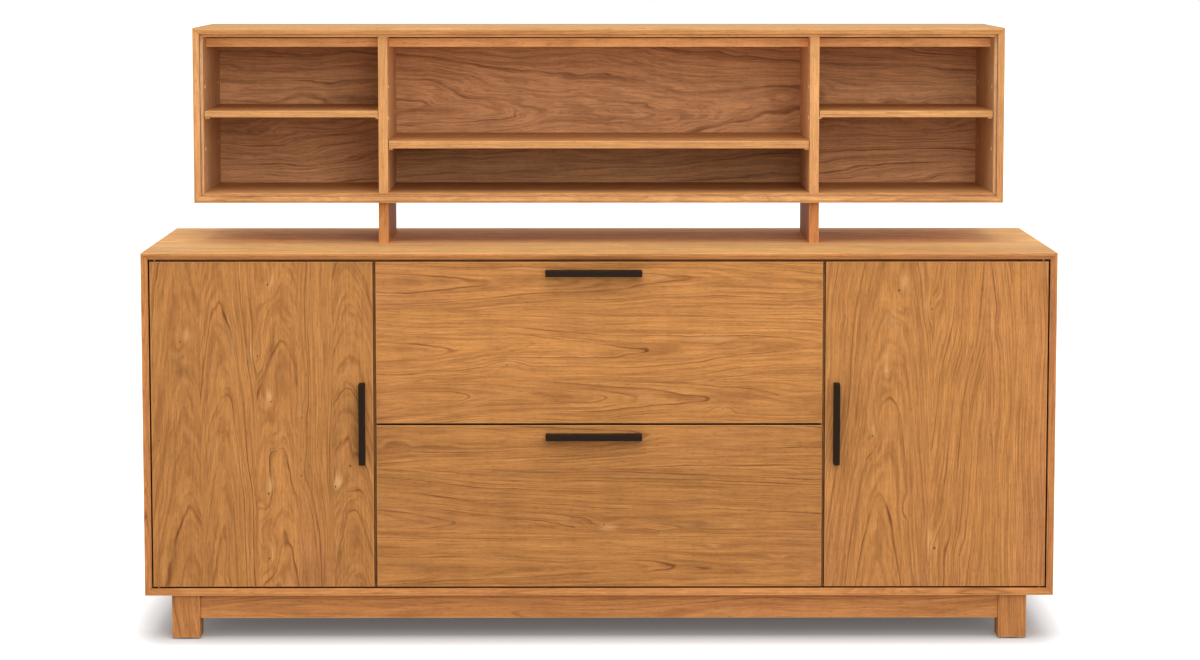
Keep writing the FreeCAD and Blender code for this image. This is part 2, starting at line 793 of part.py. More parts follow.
def hutch_top_rails():
    """Stiffening rails under the hutch's top, one to a bay."""
    body = new_body("hutch_top_rails")
    start = f"({HUTCH.front} + {HUTCH.rabbet} + Dim.top_rail_setback)"
    y = (start, f"({start} + Dim.top_rail_thickness)")
    under = shell_edges(HUTCH, "Dim.board")["top"]
    loops = [rectangle(x, y) for x in bays(HUTCH).values()]
    prism(body, "boards", "XY_Plane", f"({under} - Dim.top_rail_height)", loops,
          "Dim.top_rail_height")


def hutch_shelves():
    """One loose shelf in each bay of the hutch."""
    thickness = {
        "left": "Dim.small_shelf_thickness",
        "center": "Dim.wide_shelf_thickness",
        "right": "Dim.small_shelf_thickness",
    }
    for bay, row in HUTCH_SHELF_ROWS.items():
        shelf(HUTCH, f"hutch_shelf_{bay}", bay, row, "Dim.hutch_shelf_setback", thickness[bay])


def hutch_posts():
    """The two slabs that carry the hutch, and the loose tenons that locate them."""
    y = (POST_FRONT, f"({POST_FRONT} + Dim.post_depth)")
    inner = "((Dim.hutch_bay_width - Dim.post_thickness) / 2)"
    outer = "((Dim.hutch_bay_width + Dim.post_thickness) / 2)"
    for name, side in SIDES:
        body = plank(f"hutch_post_{name}", mirrored(side, inner, outer), y,
                     (CASE_HIGH, HUTCH_LOW))
        dress_upright(body, "Dim.arris")
        slots = key_outlines([(name, side)])
        cut(body, "lower_slots", "XY_Plane", CASE_HIGH, slots, "Dim.key_in_post", 1)
        cut(body, "upper_slots", "XY_Plane", HUTCH_LOW, slots, "Dim.key_in_post", -1)
    keys = new_body("hutch_post_tenons")
    prism(keys, "lower", "XY_Plane", f"({CASE_HIGH} - Dim.key_in_case)", key_outlines(),
          "Dim.key_in_case + Dim.key_in_post")
    prism(keys, "upper", "XY_Plane", f"({HUTCH_LOW} - Dim.key_in_post)", key_outlines(),
          "Dim.key_in_post + Dim.board + Dim.key_in_divider")


# ---------------------------------------------------------------- doors

def pull(name, plane, at, along):
    """A square bar pull with returned ends, standing on a front."""
    body = new_body(name)
    face = FRONT_FACE
    front = f"({face} - Dim.pull_reach)"
    grip = f"({front} + Dim.pull_grip)"
    low, high = along
    inner_low = f"({low} + Dim.pull_grip)"
    inner_high = f"({high} - Dim.pull_grip)"
    outline = [(low, face), (low, front), (high, front), (high, face),
               (inner_high, face), (inner_high, grip), (inner_low, grip), (inner_low, face)]
    if plane == "YZ_Plane":
        outline = [(y, place_along) for place_along, y in outline]
    prism(body, "bar", plane, f"({at} - Dim.pull_bar / 2)", [outline], "Dim.pull_bar")
    dress_front(body, "Chamfer", "Dim.pull_bevel")


def hinge_ends():
    """The two ends of a door: its edge, the case's lip, the way to the wood, the gap."""
    lip = shell_edges(CASE, LIP)
    return (("top", FRONT_HIGH, lip["top"], 1), ("bottom", FRONT_LOW, lip["bottom"], -1))


def ordered(towards, near, far):
    """A (low, high) pair along Z for a span that runs up (+1) or down (-1)."""
    return (near, far) if towards > 0 else (far, near)


def door(name, side):
    """A door with its mortises and pin holes, its pull, its hinge leaves and its strike."""
    x = mirrored(side, DOOR_INNER, DOOR_OUTER)
    panel = new_body(f"door_{name}_panel")
    prism(panel, "slab", "XZ_Plane", FRONT_FACE, [rectangle(x, (FRONT_LOW, FRONT_HIGH))],
          "Dim.front_thickness")
    dress_front(panel, "Fillet", "Dim.arris")
    leaf_x, leaf_y = leaf_spans(side)
    leaves = []
    hole_depth = "Dim.leaf_thickness + Dim.hinge_pin_depth + Dim.pin_hole_spare"
    bore = "(Dim.hinge_pin + Dim.hinge_fit)"
    for end, edge, _, towards in hinge_ends():
        cut(panel, f"{end}_mortise", "XY_Plane", edge, [rectangle(leaf_x, leaf_y)],
            "Dim.leaf_thickness", -towards)
        cut(panel, f"{end}_pin_hole", "XY_Plane", edge, [(place(side, PIVOT_X), PIVOT_Y, bore)],
            hole_depth, -towards)
        inside = f"({edge} - {towards} * Dim.leaf_thickness)"
        z = ordered(towards, inside, edge)
        plate = block(f"{name}_{end}_plate", leaf_x, leaf_y, z)
        hole = rod(f"{name}_{end}_bore", place(side, PIVOT_X), PIVOT_Y, z, bore)
        leaves.append(subtract(f"{name}_{end}_leaf", plate, hole))
    gather(f"door_{name}_hinge_leaves", leaves)
    middle = f"(({FRONT_LOW} + {FRONT_HIGH}) / 2 + Dim.door_pull_rise)"
    pull(f"door_{name}_pull", "YZ_Plane", place(side, f"({DOOR_INNER} + Dim.door_pull_edge)"),
         (f"({middle} - Dim.door_pull_length / 2)", f"({middle} + Dim.door_pull_length / 2)"))
    strike = (FRONT_REAR, f"({FRONT_REAR} + Dim.strike_thickness)")
    gather(f"door_{name}_strike", [block(f"{name}_strike_plate", catch_x(side), strike,
                                         catch_z())])


def hinge_case_leaves():
    """The fixed leaves of the four knife hinges, each with its boss and pin."""
    leaves = []
    for name, side in SIDES:
        leaf_x, leaf_y = leaf_spans(side)
        for end, edge, lip, towards in hinge_ends():
            tag = f"{name}_{end}_fixed"
            wood = f"({lip} + {towards} * Dim.leaf_thickness)"
            boss_end = f"({edge} + {towards} * Dim.hinge_float)"
            pin_end = f"({edge} - {towards} * (Dim.leaf_thickness + Dim.hinge_pin_depth))"
            at = (place(side, PIVOT_X), PIVOT_Y)
            leaf = doc.addObject("Part::MultiFuse", f"{tag}_leaf")
            leaf.Shapes = [
                block(f"{tag}_plate", leaf_x, leaf_y, ordered(towards, lip, wood)),
                rod(f"{tag}_boss", *at, ordered(towards, boss_end, wood), "Dim.hinge_boss"),
                rod(f"{tag}_pin", *at, ordered(towards, pin_end, wood), "Dim.hinge_pin"),
            ]
            leaves.append(leaf)
    gather("hinge_case_leaves", leaves)


def catch_x(side):
    """Where a door's catch lies along X, on the cabinet's side of its divider."""
    return mirrored(side, DIVIDER_OUTER, f"({DIVIDER_OUTER} + Dim.catch_width)")


def catch_z():
    """Where the catches lie along Z."""
    high = f"({CASE_HIGH} - Dim.board - Dim.catch_drop)"
    return f"({high} - Dim.catch_height)", high


def door_catches():
    """Magnetic catches screwed to the dividers."""
    face = f"({FRONT_REAR} + Dim.strike_thickness + Dim.catch_air)"
    y = (face, f"({face} + Dim.catch_depth)")
    gather("door_catches", [block(f"{name}_catch", catch_x(side), y, catch_z())
                            for name, side in SIDES])


# ---------------------------------------------------------------- file drawers

UPPER_LOW = f"({FRONT_HIGH} - Dim.upper_front_height)"
DRAWERS = {
    "upper": (UPPER_LOW, FRONT_HIGH),
    "lower": (FRONT_LOW, f"({UPPER_LOW} - Dim.drawer_gap)"),
}


def slide_outlines(level, member):
    """The section of one member of a pair of telescopic slides, on both sides.

    The fixed and the moving channels face each other, with an I-shaped one between them.
    """
    middle = f"({DRAWERS[level][0]} + Dim.box_rise + Dim.slide_rise)"
    metal = "Dim.slide_metal"
    ease = f"({metal} + Dim.slide_play)"
    fixed_half = "(Dim.slide_height / 2)"
    carriage_half = f"({fixed_half} - {ease})"
    moving_half = f"({carriage_half} - {ease})"
    far = "Dim.slide_width"
    web = f"({far} / 2 - {metal} / 2)"
    web_end = f"({far} / 2 + {metal} / 2)"
    if member == "fixed":
        half = fixed_half
        run = [("0", "-1"), ("Dim.slide_flange", "-1"), ("Dim.slide_flange", "-0"),
               (metal, "-0"), (metal, "0"), ("Dim.slide_flange", "0"),
               ("Dim.slide_flange", "1"), ("0", "1")]
    elif member == "carriage":
        half = carriage_half
        near = ease
        end = f"({far} - {ease})"
        run = [(near, "-1"), (end, "-1"), (end, "-0"), (web_end, "-0"), (web_end, "0"),
               (end, "0"), (end, "1"), (near, "1"), (near, "0"), (web, "0"),
               (web, "-0"), (near, "-0")]
    else:
        half = moving_half
        lip = f"({web_end} + Dim.slide_play)"
        inner = f"({far} - {metal})"
        run = [(far, "-1"), (far, "1"), (lip, "1"), (lip, "0"), (inner, "0"),
               (inner, "-0"), (lip, "-0"), (lip, "-1")]
    heights = {
        "-1": f"({middle} - {half})",
        "-0": f"({middle} - {half} + {metal})",
        "0": f"({middle} + {half} - {metal})",
        "1": f"({middle} + {half})",
    }
    return [[(place(side, f"({DIVIDER_INNER} - {across})"), heights[level_name])
             for across, level_name in run] for _, side in SIDES]


def slides(name, member, levels):
    """Slide members as one sub-part, for one drawer or for both."""
    body = new_body(name)
    loops = [loop for level in levels for loop in slide_outlines(level, member)]
    start = f"({CASE_FRONT} + {CASE_RABBET} + Dim.slide_start)"
    prism(body, "channels", "XZ_Plane", start, loops, "Dim.slide_length")


def drawer(level):
    """A file drawer: its front and pull, its box, its hanging rails and its slides."""
    low, high = DRAWERS[level]
    prefix = f"drawer_{level}"
    front = new_body(f"{prefix}_front")
    prism(front, "slab", "XZ_Plane", FRONT_FACE,
          [rectangle((f"-({DRAWER_HALF})", DRAWER_HALF), (low, high))], "Dim.front_thickness")
    dress_front(front, "Fillet", "Dim.arris")
    half_pull = "Dim.drawer_pull_length / 2"
    pull(f"{prefix}_pull", "XY_Plane", f"({high} - Dim.drawer_pull_drop)",
         (f"(Dim.drawer_pull_shift - {half_pull})", f"(Dim.drawer_pull_shift + {half_pull})"))

    floor = f"({low} + Dim.box_rise)"
    rim = f"({floor} + Dim.box_height)"
    groove_low = f"({floor} + Dim.box_groove_rise)"
    groove = (groove_low, f"({groove_low} + Dim.box_bottom + Dim.groove_play)")
    deep = "Dim.box_groove"
    front_inner = f"({FRONT_REAR} + Dim.box_side)"
    rear_inner = f"({BOX_END} - Dim.box_side)"

    walls = new_body(f"{prefix}_box_sides")
    spans = [mirrored(side, BOX_INNER, BOX_HALF) for _, side in SIDES]
    prism(walls, "boards", "XY_Plane", floor,
          [rectangle(x, (FRONT_REAR, BOX_END)) for x in spans], "Dim.box_height")
    grooves = [rectangle(mirrored(side, BOX_INNER, f"({BOX_INNER} + {deep})"), groove)
               for _, side in SIDES]
    cut_through(walls, "grooves", "XZ_Plane", grooves)
    notches = [rectangle(mirrored(side, BOX_INNER, f"({BOX_INNER} + Dim.file_rail_seat)"), y)
               for _, side in SIDES for y in file_rail_spans("Dim.groove_play")]
    cut(walls, "rail_notches", "XY_Plane", rim, notches,
        "Dim.file_rail_height - Dim.file_rail_proud", -1)

    ends = new_body(f"{prefix}_box_ends")
    inside = (f"-({BOX_INNER})", BOX_INNER)
    prism(ends, "boards", "XY_Plane", floor,
          [rectangle(inside, (FRONT_REAR, front_inner)),
           rectangle(inside, (rear_inner, BOX_END))], "Dim.box_height")
    cut_through(ends, "grooves", "YZ_Plane",
                [rectangle((f"({front_inner} - {deep})", front_inner), groove),
                 rectangle((rear_inner, f"({rear_inner} + {deep})"), groove)])

    tongue = f"({deep} - Dim.groove_play)"
    panel_half = f"({BOX_INNER} + {tongue})"
    plank(f"{prefix}_box_bottom", (f"-({panel_half})", panel_half),
          (f"({front_inner} - {tongue})", f"({rear_inner} + {tongue})"),
          (groove_low, f"({groove_low} + Dim.box_bottom)"))

    rails = new_body(f"{prefix}_file_rails")
    reach = f"({BOX_INNER} + Dim.file_rail_seat - Dim.groove_play)"
    prism(rails, "bars", "XY_Plane",
          f"({rim} - Dim.file_rail_height + Dim.file_rail_proud)",
          [rectangle((f"-({reach})", reach), y) for y in file_rail_spans("0")],
          "Dim.file_rail_height")
    slides(f"{prefix}_slides", "moving", [level])


def file_rail_spans(spare):
    """Where the two hanging-file rails lie along Y, with a spare width for their notches."""
    first = f"({FRONT_REAR} + Dim.box_side + Dim.file_rail_start)"
    second = f"({first} + Dim.file_span)"
    return [(start, f"({start} + Dim.file_rail_thickness + {spare})")
            for start in (first, second)]


# ---------------------------------------------------------------- build, check and write

def build():
    """Makes every sub-part."""
    case()
    cabinet_shelves()
    for row in ("front", "rear"):
        base_legs(row)
        base_rail(row)
    base_side_rails()
    base_angles()
    foot_glides()
    hutch()
    hutch_top_rails()
    hutch_shelves()
    hutch_posts()
    shelf_pins()
    hinge_case_leaves()
    door_catches()
    for name, side in SIDES:
        door(name, side)
    slides("slide_case_members", "fixed", list(DRAWERS))
    for level in DRAWERS:
        drawer(level)
        slides(f"slide_{level}_carriages", "carriage", [level])


def check():
    """Stops on a failed feature, a cut that removed nothing or a sub-part with no solid."""
    doc.recompute()
    for item in doc.Objects:
        if {"Invalid", "Error"} & set(item.State):
            raise RuntimeError(f"{item.Name} failed: {item.State}")
        if item.TypeId == "PartDesign::Pocket":
            removed = item.BaseFeature.Shape.Volume - item.Shape.Volume
            if removed < SLIVER:
                raise RuntimeError(f"{item.Name} cuts nothing")
    for name, item in nodes.items():
        if item.Shape.isNull() or not item.Shape.isValid() or not item.Shape.Solids:
            raise RuntimeError(f"{name} has no sound solid")


def write():
    """Writes each sub-part to its own file."""
    os.makedirs("parts", exist_ok=True)
    for name, item in nodes.items():
        item.Shape.exportStep(f"parts/{name}.step")


fill_sheet()
build()
check()
write()
solids = sum(len(item.Shape.Solids) for item in nodes.values())
print(f"{len(nodes)} sub-parts, {solids} solids")
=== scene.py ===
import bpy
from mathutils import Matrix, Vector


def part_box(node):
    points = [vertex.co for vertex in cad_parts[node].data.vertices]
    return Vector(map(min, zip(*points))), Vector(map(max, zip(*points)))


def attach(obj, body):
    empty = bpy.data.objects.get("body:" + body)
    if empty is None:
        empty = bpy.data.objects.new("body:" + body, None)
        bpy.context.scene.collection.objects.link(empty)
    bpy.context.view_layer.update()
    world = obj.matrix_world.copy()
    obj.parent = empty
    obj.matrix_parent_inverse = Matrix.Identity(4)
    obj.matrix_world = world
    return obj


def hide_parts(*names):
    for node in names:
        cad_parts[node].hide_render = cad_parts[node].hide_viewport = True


bl_info = {
    "name": "Office Credenza Finish",
    "version": (1, 0, 0),
    "blender": (4, 5, 0),
    "location": "3D View > Sidebar > Credenza",
    "description": "Finishes an office credenza in oiled cherry, with ebonised pulls",
    "category": "Object",
}

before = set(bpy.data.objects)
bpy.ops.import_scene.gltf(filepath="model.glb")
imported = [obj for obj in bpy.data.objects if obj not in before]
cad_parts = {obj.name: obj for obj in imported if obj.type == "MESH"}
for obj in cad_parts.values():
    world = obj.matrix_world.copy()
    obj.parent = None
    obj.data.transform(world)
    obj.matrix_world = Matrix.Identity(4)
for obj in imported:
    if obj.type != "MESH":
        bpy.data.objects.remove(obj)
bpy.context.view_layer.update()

import math
import random
from collections import namedtuple
from functools import partialmethod, reduce

import bmesh
import bpy
from bpy.props import FloatProperty, FloatVectorProperty, PointerProperty
from mathutils import Matrix, Vector

SIDES = (("left", -1), ("right", 1))
LEVELS = ("upper", "lower")
MM = 0.001


# ---------------------------------------------------------------- what a user would change

def colour(name, description, value):
    """A colour property."""
    return FloatVectorProperty(name=name, description=description, default=value,
                               subtype="COLOR", size=3, min=0.0, max=1.0)


def distance(name, description, value):
    """A length property, in metres."""
    return FloatProperty(name=name, description=description, default=value,
                         subtype="DISTANCE", unit="LENGTH", min=0.0, precision=4)


def number(name, description, value):
    """A plain number property."""
    return FloatProperty(name=name, description=description, default=value, min=0.0)


# Where each wood shows, and the colours of its earlywood and of its latewood lines
WOODS = {
    "front": ("doors and drawer fronts", (0.500, 0.215, 0.060), (0.190, 0.063, 0.018)),
    "shell": ("case, base and posts", (0.550, 0.230, 0.072), (0.265, 0.088, 0.026)),
    # The top and lid colours are painted sheen on the two top faces, greyer than their boards'
    # edges; the top colours also hold painted light
    "top": ("case's top face", (0.650, 0.360, 0.132), (0.290, 0.125, 0.042)),
    "lid": ("hutch's top face", (0.430, 0.246, 0.103), (0.254, 0.108, 0.038)),
    "hutch": ("hutch's boards", (0.600, 0.300, 0.112), (0.330, 0.130, 0.042)),
    # The inner colours are painted light: a greyer tint for the faces inside the hutch's bays,
    # for how they look in the bays' shade
    "inner": ("hutch's inner faces", (0.560, 0.320, 0.150), (0.330, 0.165, 0.070)),
    "back": ("back panels", (0.640, 0.330, 0.150), (0.300, 0.130, 0.055)),
    "maple": ("drawer boxes and tenons", (0.720, 0.520, 0.300), (0.520, 0.340, 0.170)),
}


def wood_colours():
    """Two colour properties for each wood."""
    made = {}
    for wood, (place, pale, ring) in WOODS.items():
        made[f"{wood}_pale"] = colour(f"Pale {wood.title()}", f"Earlywood of the {place}", pale)
        made[f"{wood}_ring"] = colour(f"{wood.title()} Rings", f"Latewood of the {place}", ring)
    return made


class WoodLook(bpy.types.PropertyGroup):
    """Colours and surface of the woods."""
    blush: colour("Blush", "Rosy heartwood that clouds the cherry", (0.420, 0.165, 0.075))
    gloss: number("Roughness", "Roughness of the oiled surface", 0.66)
    __annotations__.update(wood_colours())


class TrimLook(bpy.types.PropertyGroup):
    """Colours of the pulls and the fittings."""
    ebony: colour("Ebonised Wood", "Stained wood of the pulls", (0.0150, 0.0080, 0.0040))
    brass: colour("Brass", "Sleeves and shelf pins", (0.950, 0.740, 0.380))
    bronze: colour("Dark Bronze", "Hinges", (0.130, 0.092, 0.055))
    steel: colour("Plated Steel", "Slides, rails, strikes and angles", (0.560, 0.570, 0.590))
    plastic: colour("Dark Plastic", "Glides and catches", (0.030, 0.026, 0.024))


class StageLook(bpy.types.PropertyGroup):
    """Camera, floor and lights."""
    camera_across: FloatProperty(name="Camera Across", description="Place of the camera along X",
                                 default=-0.0285, unit="LENGTH")
    camera_back: distance("Camera Distance", "From the case's front to the camera", 6.7663)
    camera_rise: distance("Camera Rise", "From the case's top up to the camera", 0.6103)
    tilt: FloatProperty(name="Tilt", description="How far the camera looks down",
                        default=math.radians(5.942), subtype="ANGLE", unit="ROTATION")
    turn: FloatProperty(name="Turn", description="How far the camera looks to the right",
                        default=math.radians(0.253), subtype="ANGLE", unit="ROTATION")
    lens: number("Lens", "Focal length in millimetres on a 36 mm sensor", 102.26)
    rise_shift: number("Shift", "How far the frame is shifted down", 0.025)
    floor: colour("Floor", "Colour of the floor", (0.64, 0.64, 0.64))
    sky: number("Sky Strength", "Light from all round", 0.76)
    overhead: number("Overhead Power", "Power of the overhead light in watts", 80.0)
    frontal: number("Frontal Power", "Power of the light by the camera in watts", 108.0)


# ---------------------------------------------------------------- shader helpers

class Tree:
    """Places and links the nodes of one shader tree."""

    def __init__(self, tree):
        self.tree = tree

    def feed(self, socket, value):
        """Links an output to a socket, or sets the socket's own value."""
        if isinstance(value, bpy.types.NodeSocket):
            self.tree.links.new(value, socket)
        else:
            socket.default_value = value

    def feed_all(self, sockets, **values):
        """Feeds sockets by name, with _ for a space."""
        for name, value in values.items():
            self.feed(sockets[name.replace("_", " ")], value)

    def add(self, kind, settings=None, **inputs):
        """A shader node with settings and inputs."""
        node = self.tree.nodes.new(f"ShaderNode{kind}")
        for name, value in (settings or {}).items():
            setattr(node, name, value)
        self.feed_all(node.inputs, **inputs)
        return node

    def group(self, name, build, **inputs):
        """The outputs of a shared node group, which is built when it isn't there yet."""
        tree = bpy.data.node_groups.get(name) or build(name)
        return self.add("Group", {"node_tree": tree}, **inputs).outputs

    def math(self, operation, *values):
        """A Math node's result."""
        node = self.add("Math", {"operation": operation})
        for socket, value in zip(node.inputs, values):
            self.feed(socket, value)
        return node.outputs[0]

    def fold(self, operation, *values):
        """Values joined one after another by a Math operation."""
        return reduce(lambda first, second: self.math(operation, first, second), values)

    total = partialmethod(fold, "ADD")
    less = partialmethod(fold, "SUBTRACT")
    product = partialmethod(fold, "MULTIPLY")
    over = partialmethod(fold, "DIVIDE")
    least = partialmethod(fold, "MINIMUM")
    most = partialmethod(fold, "MAXIMUM")
    unsigned = partialmethod(math, "ABSOLUTE")

    def length(self, *values):
        """The length of a vector with some values."""
        return self.math("SQRT", self.total(*(self.product(value, value) for value in values)))

    def inset(self, value, low, high):
        """How far a value lies inside a span."""
        return self.least(self.less(value, low), self.less(high, value))

    def ramp(self, value, low, high, to_low=0.0, to_high=1.0):
        """A smooth change from one value to another as the input crosses a span."""
        node = self.add("MapRange", {"interpolation_type": "SMOOTHSTEP"}, Value=value,
                        From_Min=low, From_Max=high, To_Min=to_low, To_Max=to_high)
        return node.outputs["Result"]

    def fade(self, value, low, high, amount=1.0):
        """A smooth change from an amount to nothing."""
        return self.ramp(value, low, high, amount, 0.0)

    def darken(self, shade, mask, amount):
        """A shade, darker where a mask is 1."""
        return self.product(self.less(1.0, self.product(mask, amount)), shade)

    def mix(self, amount, first, second, blend="MIX"):
        """Two colours mixed."""
        node = self.add("Mix", {"data_type": "RGBA", "blend_type": blend})
        for socket, value in ((node.inputs[0], amount), (node.inputs[6], first),
                              (node.inputs[7], second)):
            self.feed(socket, value if isinstance(value, (float, bpy.types.NodeSocket))
                      else (*value, 1.0))
        return node.outputs[2]

    def vector(self, x, y, z):
        """Three values as a vector."""
        return self.add("CombineXYZ", X=x, Y=y, Z=z).outputs[0]

    def parts(self, vector=None):
        """X, Y and Z of a vector, or of the shaded point in its object's own frame."""
        if vector is None:
            vector = self.add("TexCoord").outputs["Object"]
        return self.add("SeparateXYZ", Vector=vector).outputs

    def noise(self, vector, scale=1.0, detail=2.0):
        """Cloudy noise between 0 and 1."""
        node = self.add("TexNoise", Vector=vector, Scale=scale, Detail=detail)
        return node.outputs[0]

    def stretched(self, point, detail, *scales):
        """Noise over three values, each with its own scale."""
        scaled = [self.product(value, scale) for value, scale in zip(point, scales)]
        return self.noise(self.vector(*scaled), detail=detail)

    def relief(self, height, strength, depth):
        """A normal with fine relief."""
        return self.add("Bump", Strength=strength, Distance=depth,
                        Height=height).outputs[0]


# Sockets of the node groups that aren't plain numbers
SOCKET_KINDS = {"Color": "Color", "Pale": "Color", "Ring": "Color", "Blush": "Color",
                "Vector": "Vector"}


def new_group(name, inputs, outputs):
    """An empty node group with named sockets: its Tree, its inputs and its outputs."""
    tree = bpy.data.node_groups.new(name, "ShaderNodeTree")
    for direction, labels in (("INPUT", inputs), ("OUTPUT", outputs)):
        for label in labels:
            kind = SOCKET_KINDS.get(label, "Float")
            tree.interface.new_socket(name=label, in_out=direction,
                                      socket_type=f"NodeSocket{kind}")
    given, result = (tree.nodes.new(f"NodeGroup{way}") for way in ("Input", "Output"))
    return Tree(tree), given.outputs, result.inputs


# A knot, in sizes of itself: how tall its swelling, crescent and core are drawn
SWELL_TALL, SWELL_SPAN = 0.40, (0.0, 4.2, 1.1)
CRESCENT_WIDE, CRESCENT_TALL, CRESCENT_UP = 0.46, 0.22, 1.6
CORE_TALL, CORE_SPAN = 0.7, (0.10, 0.34)
CRESCENT_BY_SIZE = (2.0 * MM, 7.0 * MM, 0.10, 1.00)


def knot_group(name):
    """A small knot: the rings swell round it, with a pale crescent of painted highlight beside it
    and a dark core.

    It adds to the swell, crescent and core that other knots have made.
    """
    made = ("Swell", "Crescent", "Core")
    make, given, result = new_group(
        name, ("Across", "Along", "Knot Across", "Knot Along", "Size", "Lean", *made), made)
    size = given["Size"]
    wide, tall = (make.over(make.less(given[way], given[f"Knot {way}"]), size)
                  for way in ("Across", "Along"))
    swell = make.fade(make.length(wide, make.product(tall, SWELL_TALL)), *SWELL_SPAN)
    beside = make.length(make.product(make.less(wide, given["Lean"]), CRESCENT_WIDE),
                         make.product(make.less(tall, CRESCENT_UP), CRESCENT_TALL))
    crescent = make.product(make.fade(beside, 0.0, 1.0), make.ramp(size, *CRESCENT_BY_SIZE))
    core = make.fade(make.length(wide, make.product(tall, CORE_TALL)), *CORE_SPAN)
    make.feed_all(result, Swell=make.total(given["Swell"], make.product(swell, size)),
                  Crescent=make.most(given["Crescent"], crescent),
                  Core=make.most(given["Core"], core))
    return make.tree


# Noises in timber: their detail, and their scales over the three values that each one takes
BEND = (1.0, 3.0, 1.0, 2.4)
DRIFT = (1.5, 8.0, 1.0, 2.2)
RIPPLE = (2.0, 30.0, 1.0, 9.0)
UNEVEN = (1.0, 30.0, 1.0, 1.0)
FADING = (2.0, 24.0, 1.0, 7.0)
STREAKS = (3.0, 420.0, 40.0, 4.5)
BANDS = (1.5, 75.0, 5.0, 1.8)
PORES = (2.0, 620.0, 620.0, 70.0)
FIBRE = (3.0, 270.0, 270.0, 13.0)
CURL = (1.0, 11.0, 1.0, 26.0)
CLOUD = (1.0, 4.0, 1.0, 1.5)
GLEAM = (2.0, 170.0, 20.0, 9.0)

# Ramps in timber: the span of values that each one takes, and what it makes of them
BEND_SHIFT = (0.25, 0.75, -12.0 * MM, 12.0 * MM)
LINE_BY_YEAR = (0.20, 1.00, 0.08, 1.00)
LINE_BY_PLACE = (0.30, 0.66, 0.25, 1.0)
MINERAL_BANDS = (0.68, 0.80)
MINERAL_STREAKS = (0.46, 0.62)
STREAK_DARK = (0.38, 0.72, 0.0, 0.50)
BAND_DARK = (0.38, 0.75, 0.0, 0.17)
BLUSH_CLOUD = (0.50, 0.80, 0.0, 0.40)
PORE_SHADE = (0.30, 0.50, 0.80, 1.03)
FIBRE_SHADE = (0.32, 0.68, 0.87, 1.09)
CRESCENT_GLEAM = (0.44, 0.66, 0.0, 0.62)
FACE_GLEAM = (0.58, 0.82, 0.0, 0.20)

# Amounts in timber, and the tints of its lights and darks
SHIFT_BY_HEART = 41.0
RIPPLE_SHARE = 0.30
UNEVEN_SHARE = 0.026
LINE_START, LINE_END, LINE_SPREAD = 0.86, 0.93, 0.30
LINE_DARK, MINERAL_DARK, CORE_DARK = 0.92, 0.32, 0.85
CURL_SHADE = 0.20
ARRIS_HIGHLIGHT_SHARE = 0.30
PORE_ROUGHNESS = 0.16
PORE_HEIGHT, LINE_HEIGHT = 0.7, 0.3
GLEAM_TINT, ARRIS_HIGHLIGHT_TINT = (0.74, 0.43, 0.18), (0.88, 0.52, 0.20)
CORE_TINT = (0.060, 0.022, 0.010)


